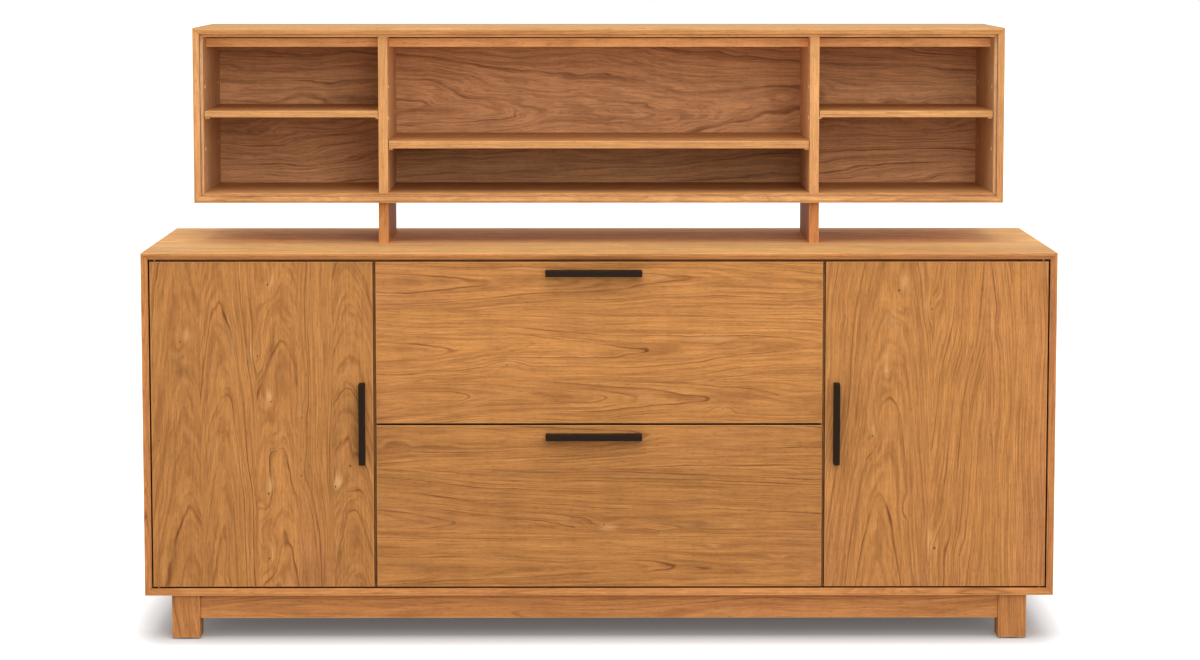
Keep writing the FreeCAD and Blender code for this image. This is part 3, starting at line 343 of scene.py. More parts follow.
def timber_group(name):
    """Sawn timber: growth rings round the heart of the tree, cut through by the board's face.

    Along runs with the grain and Across over the face. Heart and Deep say where the heart of the
    tree lies, and Slope how fast the board runs out of its rings.
    """
    make, given, result = new_group(
        name, ("Pale", "Ring", "Blush", "Across", "Through", "Along", "Seed", "Heart", "Deep",
               "Slope", "Tone", "Spacing", "Wander", "Contrast", "Swell", "Crescent", "Core",
               "Arris", "Shade", "Roughness"), ("Color", "Roughness", "Height"))
    across, heart, ring = given["Across"], given["Heart"], given["Ring"]
    lot = make.total(given["Seed"], make.product(heart, SHIFT_BY_HEART))
    along = make.total(given["Along"], lot)
    face, board = (across, lot, along), (across, given["Through"], along)

    # Rings: how far a point lies from the heart, and which year's growth it is in
    sideways = make.total(make.less(across, heart),
                          make.ramp(make.stretched(face, *BEND), *BEND_SHIFT))
    radius = make.length(sideways, make.total(given["Through"], given["Deep"]))
    drift = make.product(make.stretched(board, *DRIFT), given["Wander"])
    ripple = make.product(make.stretched(board, *RIPPLE), given["Wander"], RIPPLE_SHARE)
    grown = make.total(radius, make.product(given["Along"], given["Slope"]), drift, ripple,
                       given["Swell"])
    uneven = make.product(make.stretched((grown, lot, 0.0), *UNEVEN), UNEVEN_SHARE)
    years = make.over(make.total(grown, uneven), given["Spacing"])
    within = make.math("FRACT", years)
    year = make.add("TexWhiteNoise", {"noise_dimensions": "1D"},
                    W=make.math("FLOOR", years)).outputs["Value"]
    faded = make.ramp(make.stretched(face, *FADING), *LINE_BY_PLACE)
    steep = make.over(make.unsigned(sideways), radius)
    start = make.total(make.product(steep, -LINE_SPREAD), LINE_START)
    line = make.product(make.ramp(within, start, LINE_END), make.fade(within, LINE_END, 1.0),
                        make.ramp(year, *LINE_BY_YEAR), faded)

    # Fibres follow the rings, and pores the board
    fibres = (grown, across, along)
    streaks = make.stretched(fibres, *STREAKS)
    bands = make.stretched(fibres, *BANDS)
    gleam = make.stretched(fibres, *GLEAM)
    pores = make.stretched(board, *PORES)
    mineral = make.product(make.ramp(bands, *MINERAL_BANDS),
                           make.ramp(streaks, *MINERAL_STREAKS), faded, MINERAL_DARK)

    # Colour
    ground = make.mix(make.ramp(make.stretched(face, *CLOUD), *BLUSH_CLOUD), given["Pale"],
                      given["Blush"])
    banded = make.mix(make.ramp(bands, *BAND_DARK), ground, ring)
    dark = make.total(make.product(line, LINE_DARK), make.ramp(streaks, *STREAK_DARK))
    ringed = make.mix(make.product(given["Contrast"], dark), banded, ring)
    marked = make.mix(mineral, ringed, ring, "MULTIPLY")
    # Broad light and dark patches across the grain: partly the wood's own tone, partly painted
    # chatoyant sheen
    curl = make.product(make.stretched(face, *CURL), CURL_SHADE)
    shade = make.product(given["Shade"], given["Tone"], make.total(curl, 1.0 - CURL_SHADE / 2),
                         make.ramp(pores, *PORE_SHADE),
                         make.ramp(make.stretched(board, *FIBRE), *FIBRE_SHADE))
    toned = make.mix(1.0, marked, make.vector(shade, shade, shade), "MULTIPLY")
    # Painted chatoyant highlights: pale crescents beside the knots and faint gleams along the
    # rings
    light = make.total(make.product(make.ramp(gleam, *CRESCENT_GLEAM), given["Crescent"]),
                       make.ramp(gleam, *FACE_GLEAM))
    # Painted highlight: a pale tint along the arrises, where the Arris mask is 1
    edge_highlit = make.mix(make.product(given["Arris"], ARRIS_HIGHLIGHT_SHARE),
                    make.mix(light, toned, GLEAM_TINT), ARRIS_HIGHLIGHT_TINT)
    make.feed_all(
        result, Color=make.mix(make.product(given["Core"], CORE_DARK), edge_highlit, CORE_TINT),
        Roughness=make.total(given["Roughness"], make.product(pores, PORE_ROUGHNESS),
                             -PORE_ROUGHNESS / 2),
        Height=make.total(make.product(pores, PORE_HEIGHT), make.product(line, LINE_HEIGHT)))
    return make.tree


# Scuffs: how fine the brushing is, the clouds' scale and detail, and what both do
BRUSHING = 2200.0
CLOUDING = (38.0, 3.0)
BRUSH_SHADE = (0.3, 0.7, 0.90, 1.05)
CLOUD_SHADE = (0.3, 0.7, 0.92, 1.04)
CLOUD_ROUGHNESS = (0.3, 0.7, -0.05, 0.09)


def scuff_group(name):
    """Fine brushing along Z and faint clouding, for metal and plastic."""
    make, given, result = new_group(name, ("Vector", "Color", "Roughness", "Stretch"),
                                    ("Color", "Roughness", "Height"))
    point = make.parts(given["Vector"])
    brushed = make.noise(make.vector(make.product(point["X"], BRUSHING),
                                     make.product(point["Y"], BRUSHING),
                                     make.product(point["Z"], given["Stretch"])))
    cloudy = make.noise(given["Vector"], *CLOUDING)
    tone = make.product(make.ramp(brushed, *BRUSH_SHADE), make.ramp(cloudy, *CLOUD_SHADE))
    make.feed_all(
        result, Color=make.mix(1.0, given["Color"], make.vector(tone, tone, tone), "MULTIPLY"),
        Roughness=make.total(given["Roughness"], make.ramp(cloudy, *CLOUD_ROUGHNESS)),
        Height=brushed)
    return make.tree


def new_material(name, surface="BsdfPrincipled"):
    """An empty material: the material, its Tree and the node at its surface."""
    material = bpy.data.materials.new(name)
    material.use_nodes = True
    material.node_tree.nodes.clear()
    make = Tree(material.node_tree)
    shader = make.add(surface)
    make.add("OutputMaterial", Surface=shader.outputs[0])
    return material, make, shader


Timber = namedtuple("Timber", "wood stave spacing slope wander contrast knots")
Stave = namedtuple("Stave", "edge heart deep slope tone")
Knot = namedtuple("Knot", "across along size lean")


# The kinds of timber; knots is how many there are to a square metre
TIMBERS = {
    "wild": Timber("front", 0.110, 0.0074, 0.050, 0.026, 0.95, 10.0),
    "plain": Timber("front", 0.110, 0.0066, 0.030, 0.016, 0.92, 10.0),
    "flowing": Timber("front", 0.110, 0.0046, 0.034, 0.017, 1.00, 8.0),
    "shell": Timber("shell", 0.125, 0.0048, 0.020, 0.014, 0.90, 4.0),
    "hutch": Timber("hutch", 0.125, 0.0048, 0.020, 0.014, 0.85, 4.0),
    "veneer": Timber("back", 0.300, 0.0170, 0.050, 0.062, 1.20, 3.0),
    "maple": Timber("maple", 0.110, 0.0050, 0.014, 0.012, 0.45, 0.0),
}

# Boards whose staves and knots are listed, in millimetres from the low corner
FIGURES = {
    "door_left_panel": (
        ((0, 66, 110, 0.070, 0.98), (98, 146, 50, 0.066, 1.00), (212, 258, 80, 0.080, 1.04),
         (293, 170, 40, 0.035, 0.99), (365, 398, 55, 0.150, 0.95)),
        ((236, 612, 7, 1), (60, 497, 6, 2), (240, 376, 6, -1), (248, 312, 5, 1),
         (302, 344, 5, -1), (234, 190, 8, 1), (300, 226, 6, -1), (234, 58, 7, 1),
         (14, 298, 5, 1), (368, 204, 7, 1), (398, 246, 9, -1), (214, 468, 6, -2)),
    ),
    "door_right_panel": (
        ((0, 121, 85, 0.070, 0.96), (213, 190, 40, -0.090, 1.00), (318, 214, 50, 0.030, 1.01),
         (374, 230, 44, 0.014, 1.03)),
        ((146, 600, 8, 1), (212, 562, 6, -1), (38, 548, 4, 1), (96, 306, 6, 1),
         (125, 432, 4, -1), (158, 160, 4, 1), (345, 522, 5, -1), (222, 78, 9, -1),
         (272, 64, 5, 1), (334, 308, 4, 1)),
    ),
    "drawer_upper_front": (
        ((0, 44, 40, 0.022, 1.00), (84, 150, 50, 0.024, 1.03), (228, 282, 40, 0.030, 1.00)),
        ((90, 106, 3, 1), (196, 244, 2, -1), (118, 262, 5, 1), (84, 700, 4, -1),
         (30, 694, 4, 1), (238, 846, 3, -1)),
    ),
    "drawer_lower_front": (
        ((0, 40, 60, 0.014, 0.99), (119, 122, 36, 0.034, 0.93), (240, 300, 50, 0.018, 1.00)),
        ((126, 456, 6, -1), (292, 38, 4, 1), (232, 840, 3, 1), (78, 676, 3, 1),
         (112, 566, 4, -1), (60, 808, 3, 1)),
    ),
    "hutch_back": (((0, 170, 62, 0.050, 1.00),), ()),
    # The case top's stave tones are painted light and shade: darker at the front, lighter towards
    # the back, where the hutch shades the top
    "case_top": (
        ((0, 64, 60, 0.018, 0.81), (131, 210, 50, -0.016, 0.87), (262, 290, 70, 0.020, 1.14),
         (378, 440, 45, -0.018, 1.15), (503, 560, 60, 0.015, 1.14)),
        ((96, 1310, 4, 1), (214, 520, 3, -1)),
    ),
}


FRAMED = ("case_top", "case_bottom", "case_side_left", "case_side_right")

# The hutch's frame, and whether each board's outer face is the high one
HUTCH_FRAME = {"hutch_top": True, "hutch_bottom": False, "hutch_side_left": False,
               "hutch_side_right": True}


# How far the random draws for the other boards reach, and the most knots that one has
EDGE_SHIFT = (-0.2, 0.2)
HEART_ACROSS = (-0.4, 1.4)
HEART_DEPTH = (0.020, 0.090)
SLOPE_SHARE = (0.6, 1.4)
STAVE_TONE = (0.96, 1.04)
KNOT_SIZE = (3.5, 7.0)
MOST_KNOTS = 8


def sawn(node, timber, width, length, seed):
    """A board's staves, each from another place in the tree, and its knots, in metres."""
    if node in FIGURES:
        staves, knots = FIGURES[node]
        return ([Stave(edge * MM, heart * MM, deep * MM, slope, tone)
                 for edge, heart, deep, slope, tone in staves],
                [Knot(across * MM, along * MM, size * MM, lean)
                 for across, along, size, lean in knots])
    dice = random.Random(seed)
    count = max(1, round(width / timber.stave))
    staves = []
    for index in range(count):
        edge = (index + dice.uniform(*EDGE_SHIFT) * bool(index)) * width / count
        staves.append(Stave(edge, edge + width / count * dice.uniform(*HEART_ACROSS),
                            dice.uniform(*HEART_DEPTH),
                            timber.slope * dice.uniform(*SLOPE_SHARE) * dice.choice((-1, 1)),
                            dice.uniform(*STAVE_TONE)))
    knots = [Knot(dice.uniform(0.0, width), dice.uniform(0.0, length),
                  dice.uniform(*KNOT_SIZE) * MM, dice.choice((-1, 1)))
             for _ in range(min(MOST_KNOTS, round(timber.knots * width * length)))]
    return staves, knots


# How a stave's facts are scaled to fit the channels of a colour
HEART_SCALE, DEEP_SCALE, TONE_SCALE = 4.0, 0.2, 2.0


def stave_facts(make, across, staves, width):
    """The heart, depth, slope and tone of the stave under a point."""
    node = make.add("ValToRGB", Fac=make.over(across, width))
    node.color_ramp.interpolation = "CONSTANT"
    marks = node.color_ramp.elements
    marks.remove(marks[1])
    for index, stave in enumerate(staves):
        mark = marks.new(stave.edge / width) if index else marks[0]
        mark.color = (stave.heart / width / HEART_SCALE + 0.5, stave.deep / DEEP_SCALE,
                      stave.tone / TONE_SCALE, stave.slope + 0.5)
    facts = make.add("SeparateColor", Color=node.outputs["Color"]).outputs
    return {"Heart": make.product(make.less(facts["Red"], 0.5), width * HEART_SCALE),
            "Deep": make.product(facts["Green"], DEEP_SCALE),
            "Tone": make.product(facts["Blue"], TONE_SCALE),
            "Slope": make.less(node.outputs["Alpha"], 0.5)}


def knotted(make, across, along, knots):
    """The swell, crescents and cores of a board's knots."""
    made = {"Swell": 0.0, "Crescent": 0.0, "Core": 0.0}
    for knot in knots:
        group = make.group("small_knot", knot_group, Across=across, Along=along,
                           Knot_Across=knot.across, Knot_Along=knot.along, Size=knot.size,
                           Lean=float(knot.lean), **made)
        made = {name: group[name] for name in made}
    return made


# ---------------------------------------------------------------- masks and timber

# How wide the marks on boards are, and how dark: the arris, land, step, inner, upper, gap and
# rail marks are painted light and shade; the tails are the dovetails' own end grain
ARRIS_WIDTH = 2.2 * MM
LIP_DEPTH = 13.0 * MM
LAND_WIDTH, LAND_SHADE = 5.0 * MM, 0.17
STEP_AT, STEP_SHADOW = 14.0 * MM, 0.60
LIP_PAINTED_LIGHT = 1.04
INNER_FROM = (2.0 * MM, 9.0 * MM)
INNER_SKIN = (2.0 * MM, 6.0 * MM)
DIVIDER_PAINTED_LIGHT = 0.35
UPPER_SKIN = (0.3 * MM, 1.2 * MM)
FRONT_GAP_SHADE, FRAME_GAP_SHADE = 0.5, 0.88
RAIL_SHADOW_SPAN, RAIL_SHADOW_DARK = (3.8 * MM, 5.2 * MM), 0.85
TAIL_BOARD, TAIL_PITCH, TAIL_HALF = 12.0 * MM, 34.0 * MM, 3.0 * MM
TAIL_SLOPE, TAIL_DARK = 0.20, 0.30
BLUR = 0.3 * MM
WOOD_SPECULAR = 0.10
WOOD_RELIEF = (0.25, 0.2 * MM)


def arris_highlight_mask(make, point, node):
    """1 along the outer edges of a node's box, where a painted highlight stands for the light
    that the arrises catch.
    """
    away = [make.inset(point[axis], low, high) for axis, low, high in zip("XYZ", *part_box(node))]
    second = make.less(make.total(*away), make.total(make.least(*away), make.most(*away)))
    return make.fade(second, 0.0, ARRIS_WIDTH)


def gap_shade_mask(make, point, node):
    """1 on the edges of a front and on the lip round the fronts, which lie in a narrow gap and
    take a painted shade there.
    """
    face, rear = (corner[1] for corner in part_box("door_left_panel"))
    between = make.product(make.ramp(point["Y"], face + 1.2 * MM, face + 3.6 * MM),
                           make.fade(point["Y"], rear, rear + 4.0 * MM))
    if node not in FRAMED:
        return make.product(between, make.fade(point["Y"], rear - 1.0 * MM, rear - 0.2 * MM))
    low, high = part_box("case_side_left")[0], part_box("case_side_right")[1]
    inside = make.least(make.inset(point["X"], low[0], high[0]),
                        make.inset(point["Z"], low[2], high[2]))
    return make.product(between, make.ramp(inside, LIP_DEPTH, LIP_DEPTH + 0.4 * MM))


def lip_shade_mask(make, place, length, out):
    """Painted shade on the front of the hutch's frame: on its land, and a painted shadow line at
    the step that follows its bevel.
    """
    land = make.product(make.fade(out, LAND_WIDTH - 0.4 * MM, LAND_WIDTH + 0.4 * MM, LAND_SHADE),
                        make.fade(place[0], 0.6 * MM, 1.8 * MM))
    off = make.unsigned(make.less(out, STEP_AT))
    step = make.product(make.fade(off, 0.6 * MM, 1.4 * MM, STEP_SHADOW),
                        make.fade(place[0], STEP_AT, STEP_AT + 4.0 * MM))
    mitre = make.ramp(make.less(make.inset(place[2], 0.0, length), out), -0.6 * MM, 0.0)
    return make.product(make.most(land, step), mitre)


def dovetail_mask(make, point, node):
    """1 on the end grain of the pins that show through a drawer's sides."""
    low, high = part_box(node)
    away = make.inset(point["Y"], low[1], high[1])
    turn = make.math("FRACT", make.over(make.less(point["Z"], low[2]), TAIL_PITCH))
    off = make.product(make.unsigned(make.less(turn, 0.5)), TAIL_PITCH)
    half = make.total(make.product(away, TAIL_SLOPE), TAIL_HALF)
    return make.product(make.fade(make.less(off, half), -BLUR, 0.0),
                        make.fade(away, TAIL_BOARD - BLUR, TAIL_BOARD))


def inner_mask(make, place, node, out):
    """1 on the faces that look into the hutch's bays, which take painted light; None for a board
    without them.
    """
    if not node.startswith(("hutch_side", "hutch_divider")):
        return None
    behind = make.ramp(place[0], *INNER_FROM)
    if node in HUTCH_FRAME:
        behind = make.product(behind, make.ramp(out, *INNER_SKIN))
    return behind


def tints(wood):
    """The pale and ring colours of a wood."""
    look = bpy.context.scene.wood_look
    return [getattr(look, f"{wood}_{part}") for part in ("pale", "ring")]


def face_tints(make, wood, node, place, thick, inner):
    """The pale and ring colours of a board, which differ on some faces: painted sheen on the top
    faces, and a painted-light tint on the faces inside the hutch's bays.
    """
    sheen_faces = {"case_top": "top", "hutch_top": "lid"}
    if node in sheen_faces:
        near, far = UPPER_SKIN
        mask, other = make.ramp(place[1], thick - far, thick - near), sheen_faces[node]
    # Faces inside the bays take the inner colours, a painted-light tint
    elif inner is not None:
        mask, other = inner, "inner"
    else:
        return [(*tint, 1.0) for tint in tints(wood)]
    return [make.mix(mask, *pair) for pair in zip(tints(wood), tints(other))]


def board_shade(make, point, node, place, size, out, inner, shade):
    """How bright each part of a board is."""
    if node.endswith("box_sides"):
        shade = make.darken(shade, dovetail_mask(make, point, node), TAIL_DARK)
    # Painted shade in the gaps round the fronts
    if node in FIGURES or node in FRAMED:
        dark = FRAME_GAP_SHADE if node in FRAMED else FRONT_GAP_SHADE
        shade = make.darken(shade, gap_shade_mask(make, point, node), dark)
    # Painted light on the dividers' faces inside the bays
    if node.startswith("hutch_divider"):
        shade = make.darken(shade, inner, -DIVIDER_PAINTED_LIGHT)
    # The hutch frame's front: painted light overall, less the painted shade of its land and step
    if node in HUTCH_FRAME:
        lip = lip_shade_mask(make, place, size[2], out)
        shade = make.product(make.less(LIP_PAINTED_LIGHT, lip), shade)
    # Painted shadow along the rail's top, in the joint under the hutch's top board
    if node == "hutch_top_rails":
        near, far = RAIL_SHADOW_SPAN
        joint_shadow = make.ramp(place[0], size[0] - far, size[0] - near)
        shade = make.darken(shade, joint_shadow, RAIL_SHADOW_DARK)
    return shade


def timber_material(node, kind, grain, across, seed, shade):
    """Oiled timber for one node; places on it run across, through and along it."""
    look = bpy.context.scene.wood_look
    timber = TIMBERS[kind]
    material, make, shader = new_material(f"{node}_wood")
    axes = (across, ({*"XYZ"} - {across, grain}).pop(), grain)
    low, high = (dict(zip("XYZ", corner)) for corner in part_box(node))
    size = [high[axis] - low[axis] for axis in axes]
    point = make.parts()
    place = [make.less(point[axis], low[axis]) for axis in axes]
    out = make.less(size[1], place[1]) if HUTCH_FRAME.get(node) else place[1]
    inner = inner_mask(make, place, node, out)
    pale, ring = face_tints(make, timber.wood, node, place, size[1], inner)
    blush = look.maple_pale if kind == "maple" else look.blush
    staves, knots = sawn(node, timber, size[0], size[2], seed)
    wood = make.group(
        "sawn_timber", timber_group, Pale=pale, Ring=ring, Blush=(*blush, 1.0),
        Across=place[0], Through=place[1], Along=place[2], Seed=seed, Spacing=timber.spacing,
        Wander=timber.wander, Contrast=timber.contrast, Arris=arris_highlight_mask(make, point, node),
        Shade=board_shade(make, point, node, place, size, out, inner, shade),
        Roughness=look.gloss, **stave_facts(make, place[0], staves, size[0]),
        **knotted(make, place[0], place[2], knots))
    make.feed_all(shader.inputs, Base_Color=wood["Color"], Roughness=wood["Roughness"],
                  Specular_IOR_Level=WOOD_SPECULAR,
                  Normal=make.relief(wood["Height"], *WOOD_RELIEF))
    return material


# ---------------------------------------------------------------- metal, plastic and stained wood

METAL_SPECULAR = 0.5
SCUFF_RELIEF = (0.12, 0.1 * MM)

# Each finish takes its colour from the trim look, and stretches its brushing along its grain
Finish = namedtuple("Finish", "look roughness metallic stretch grain specular",
                    defaults=(0.0, 60.0, "Z", 0.12))
FINISHES = {
    "satin_brass": Finish("brass", 0.46, 0.7),
    "dark_bronze": Finish("bronze", 0.42, 1.0),
    "plated_steel": Finish("steel", 0.34, 1.0),
    "dark_plastic": Finish("plastic", 0.55, stretch=BRUSHING),
    "ferrite": Finish("plastic", 0.75),
    "ebonised_upright": Finish("ebony", 0.48, specular=0.07),
    "ebonised_level": Finish("ebony", 0.48, grain="X", specular=0.07),
}


def finish(name):
    """The material of a finish, with fine scuffs along its grain."""
    if name in bpy.data.materials:
        return bpy.data.materials[name]
    facts = FINISHES[name]
    tint = getattr(bpy.context.scene.trim_look, facts.look)
    material, make, shader = new_material(name)
    point = make.parts()
    turned_point = make.vector(*(point[axis] for axis in "XYZ" if axis != facts.grain),
                               point[facts.grain])
    scuffs = make.group("fine_scuffs", scuff_group, Vector=turned_point, Color=(*tint, 1.0),
                        Roughness=facts.roughness, Stretch=facts.stretch)
    make.feed_all(shader.inputs, Base_Color=scuffs["Color"], Roughness=scuffs["Roughness"],
                  Metallic=facts.metallic,
                  Specular_IOR_Level=METAL_SPECULAR if facts.metallic else facts.specular,
                  Normal=make.relief(scuffs["Height"], *SCUFF_RELIEF))
    return material


# ---------------------------------------------------------------- turned fittings

# Outlines of (radius, height) in millimetres; height 0 is the face that a fitting stands in
SLEEVE_OUTLINE = ((2.5, -9.0), (2.5, 0.3), (2.8, 0.6), (3.9, 0.6), (4.3, 0.4), (4.4, 0.0),
                  (3.5, -0.05), (3.5, -9.0))
PIN_OUTLINE = ((0.0, 8.0), (1.8, 8.0), (2.3, 7.8), (2.5, 7.3), (2.5, 1.0), (3.5, 1.0), (3.8, 0.9),
               (3.8, 0.62), (2.45, 0.62), (2.45, -8.4), (2.0, -8.9), (0.0, -8.9))
SCREW_OUTLINE = ((0.0, 0.22), (0.55, 0.22), (1.9, 0.2), (2.5, 0.12), (2.9, 0.0), (2.9, -0.1),
                 (1.4, -1.2), (0.0, -1.2))
PEG_DEPTH, PEG_SLACK = 9.0 * MM, 0.2 * MM
SCREW_STEPS = 16
SCREW_HUB, SCREW_ARM, SCREW_TURN = 0.55 * MM, 1.9 * MM, 22.5
RECESS_EDGE, RECESS_DEPTH = 0.04 * MM, 0.45 * MM

# Where screws sit along a hinge leaf, a strike and an angle, and how high the upper hinges are
LEAF_SCREWS = (7.0, 20.0)
STRIKE_SCREWS = (-10.0, 10.0)
STRIKE_SINK = 0.12 * MM
ANGLE_SCREWS = (-11.0, 11.0)
ANGLE_OFF = 4.0 * MM
ANGLE_METAL = 2.5 * MM
ANGLE_REACH = 0.7
BACK_SCREWS = (("case_back", "case_divider_right", 5), ("hutch_back", "hutch_divider_right", 3))
HINGE_MIDDLE = 0.4
HINGE_GAP = 4.5 * MM

# Pulls: their softened edges, and the finger groove's rim, slope and depth
PULL_SOFT, PULL_SEGMENTS = 1.6 * MM, 3
GROOVE_RIM, GROOVE_SLOPE, GROOVE_DEPTH = 4.0 * MM, 1.5 * MM, 5.5 * MM

# Magnetic catches: the body's setback, where the parts end, and their softened edges
CATCH_BACK, CATCH_END, CATCH_REACH = 2.0 * MM, 7.0 * MM, 4.0 * MM
CATCH_SOFT, PART_SOFT = 1.2 * MM, 0.25 * MM

UP, DOWN, REARWARD = Vector((0.0, 0.0, 1.0)), Vector((0.0, 0.0, -1.0)), Vector((0.0, 1.0, 0.0))
LEFT, RIGHT = Vector((-1.0, 0.0, 0.0)), Vector((1.0, 0.0, 0.0))


# ---------------------------------------------------------------- object helpers

JOIN_WITHIN = 0.01 * MM
WOOD_SOFT, METAL_SOFT = 0.6 * MM, 0.2 * MM
SHARP = math.radians(40)
SQUARELY = 0.999


def finish_node(node, material, soften=0.0):
    """Gives a node its material, and softens its sharp edges."""
    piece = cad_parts[node]
    piece.data.materials.clear()
    piece.data.materials.append(material)
    if soften:
        weld = piece.modifiers.new("weld", "WELD")
        weld.merge_threshold = JOIN_WITHIN
        bevel = piece.modifiers.new("soft_edges", "BEVEL")
        bevel.width = soften
        bevel.segments = 2
        bevel.limit_method = "ANGLE"
        bevel.angle_limit = SHARP
        bevel.use_clamp_overlap = False


def finish_board(node, kind, grain, across, seed, shade=1.0, soften=WOOD_SOFT):
    """Finishes one wooden node."""
    finish_node(node, timber_material(node, kind, grain, across, seed, shade), soften)


def finish_boards(*boards):
    """Finishes wooden nodes; {} in a name stands for both sides, each with its own seed."""
    for name, kind, grain, across, seed, *others in boards:
        for side, way in SIDES if "{}" in name else (("", 0),):
            finish_board(name.format(side), kind, grain, across, seed + way, *others)


def as_mesh(name, bm):
    """A bmesh as a mesh; the bmesh is freed."""
    mesh = bpy.data.meshes.new(name)
    bm.to_mesh(mesh)
    bm.free()
    return mesh


def add_object(name, data):
    """A new object in the scene."""
    added = bpy.data.objects.new(name, data)
    bpy.context.scene.collection.objects.link(added)
    return added


def new_piece(name, bm, body, material):
    """A mesh object that rides on a body."""
    piece = add_object(name, as_mesh(name, bm))
    piece.data.materials.append(material)
    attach(piece, body)
    return piece


def solids_of(node):
    """The lowest and highest corners of each separate solid of a node."""
    bm = bmesh.new()
    bm.from_mesh(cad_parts[node].data)
    bmesh.ops.remove_doubles(bm, verts=bm.verts, dist=JOIN_WITHIN)
    left = set(bm.verts)
    boxes = []
    while left:
        reached = {left.pop()}
        edge = list(reached)
        while edge:
            vert = edge.pop()
            near = {link.other_vert(vert) for link in vert.link_edges} - reached
            reached |= near
            edge += near
        left -= reached
        corners = list(zip(*(vert.co for vert in reached)))
        boxes.append((Vector([*map(min, corners)]), Vector([*map(max, corners)])))
    bm.free()
    return sorted(boxes, key=lambda box: tuple(round(value, 5) for value in box[0]))


def turned(name, outline, steps=24, closed=False):
    """A mesh turned round Z from an outline of (radius, height) points in millimetres."""
    bm = bmesh.new()
    verts = [bm.verts.new((radius * MM, 0.0, height * MM)) for radius, height in outline]
    edges = [bm.edges.new(pair) for pair in zip(verts, verts[1:])]
    if closed:
        edges.append(bm.edges.new((verts[-1], verts[0])))
    bmesh.ops.spin(bm, geom=verts + edges, cent=(0.0, 0.0, 0.0), axis=UP, angle=math.tau,
                   steps=steps, use_merge=True)
    bmesh.ops.remove_doubles(bm, verts=bm.verts, dist=JOIN_WITHIN)
    bmesh.ops.recalc_face_normals(bm, faces=bm.faces)
    return as_mesh(name, bm)


def repeated(shape, places):
    """A bmesh with a mesh at each place, its Z turned the way that the place faces."""
    bm = bmesh.new()
    for point, facing in places:
        start = len(bm.verts)
        bm.from_mesh(shape)
        bm.verts.ensure_lookup_table()
        turn = UP.rotation_difference(facing).to_matrix().to_4x4()
        bmesh.ops.transform(bm, matrix=Matrix.Translation(point) @ turn, verts=bm.verts[start:])
    return bm


def screw_mesh():
    """A countersunk screw's head with a cross recess, proud by a hair."""
    if "screw_head" in bpy.data.meshes:
        return bpy.data.meshes["screw_head"]
    mesh = turned("screw_head", SCREW_OUTLINE, SCREW_STEPS)
    bm = bmesh.new()
    bm.from_mesh(mesh)
    cross = []
    for face in bm.faces:
        x, y, z = face.calc_center_median()
        across = math.hypot(x, y)
        turn = math.degrees(math.atan2(y, x)) % 90.0
        if z > 0.0 and (across < SCREW_HUB or (across < SCREW_ARM and turn < SCREW_TURN)):
            cross.append(face)
    bmesh.ops.inset_region(bm, faces=cross, thickness=RECESS_EDGE, depth=-RECESS_DEPTH,
                           use_even_offset=True)
    bm.to_mesh(mesh)
    bm.free()
    return mesh


def screws(name, places, body):
    """Screw heads at the given places."""
    return new_piece(name, repeated(screw_mesh(), places), body, finish("plated_steel"))


def wall_facing(start, end, walls):
    """Where along X a peg meets its wall, and which way it comes out."""
    for wall in walls:
        if abs(start + PEG_DEPTH - wall) < PEG_SLACK:
            return wall, RIGHT
        if abs(end - PEG_DEPTH - wall) < PEG_SLACK:
            return wall, LEFT
    raise RuntimeError("a peg meets no wall")


def pegs(node, walls):
    """The place and facing of each peg of a node that stands in a wall."""
    places = []
    for low, high in solids_of(node):
        wall, way = wall_facing(low[0], high[0], walls)
        _, y, z = (low + high) / 2
        places.append((Vector((wall, y, z)), way))
    return places


def block(bm, low, high, soften, segments=2):
    """Adds a box with softened edges to a bmesh."""
    verts = bmesh.ops.create_cube(bm, size=1.0)["verts"]
    bmesh.ops.scale(bm, vec=high - low, verts=verts)
    bmesh.ops.translate(bm, vec=(low + high) / 2, verts=verts)
    edges = [edge for edge in bm.edges if edge.verts[0] in verts]
    bmesh.ops.bevel(bm, geom=edges, offset=soften, segments=segments, profile=0.5,
                    affect="EDGES", material=-1)


# ---------------------------------------------------------------- operators

class CREDENZA_OT_case(bpy.types.Operator):
    """Finish the case, its dividers, its back and its shelves"""
    bl_idname = "credenza.case"
    bl_label = "Case"

    def execute(self, context):
        # The case top's shade above 1 is painted light on its face and front edge
        finish_boards(("case_top", "shell", "X", "Y", 1.3, 1.34),
                      ("case_bottom", "shell", "X", "Y", 2.9, 0.94),
                      ("case_back", "veneer", "X", "Z", 4.1),
                      ("case_side_{}", "shell", "Z", "Y", 5.7),
                      ("case_divider_{}", "shell", "Z", "Y", 8.3),
                      ("cabinet_shelf_{}", "shell", "X", "Y", 11.9))
        return {"FINISHED"}


class CREDENZA_OT_base(bpy.types.Operator):
    """Finish the legs, the rails, the angles and the glides"""
    bl_idname = "credenza.base"
    bl_label = "Base"

    def execute(self, context):
        for index, row in enumerate(("front", "rear")):
            finish_boards((f"base_legs_{row}", "shell", "Z", "X", 14.2 + index, 0.92),
                          (f"base_rail_{row}", "shell", "X", "Z", 17.6 + index))
        finish_board("base_side_rails", "shell", "Y", "Z", 20.4)
        finish_node("base_angles", finish("plated_steel"))
        finish_node("foot_glides", finish("dark_plastic"))
        return {"FINISHED"}


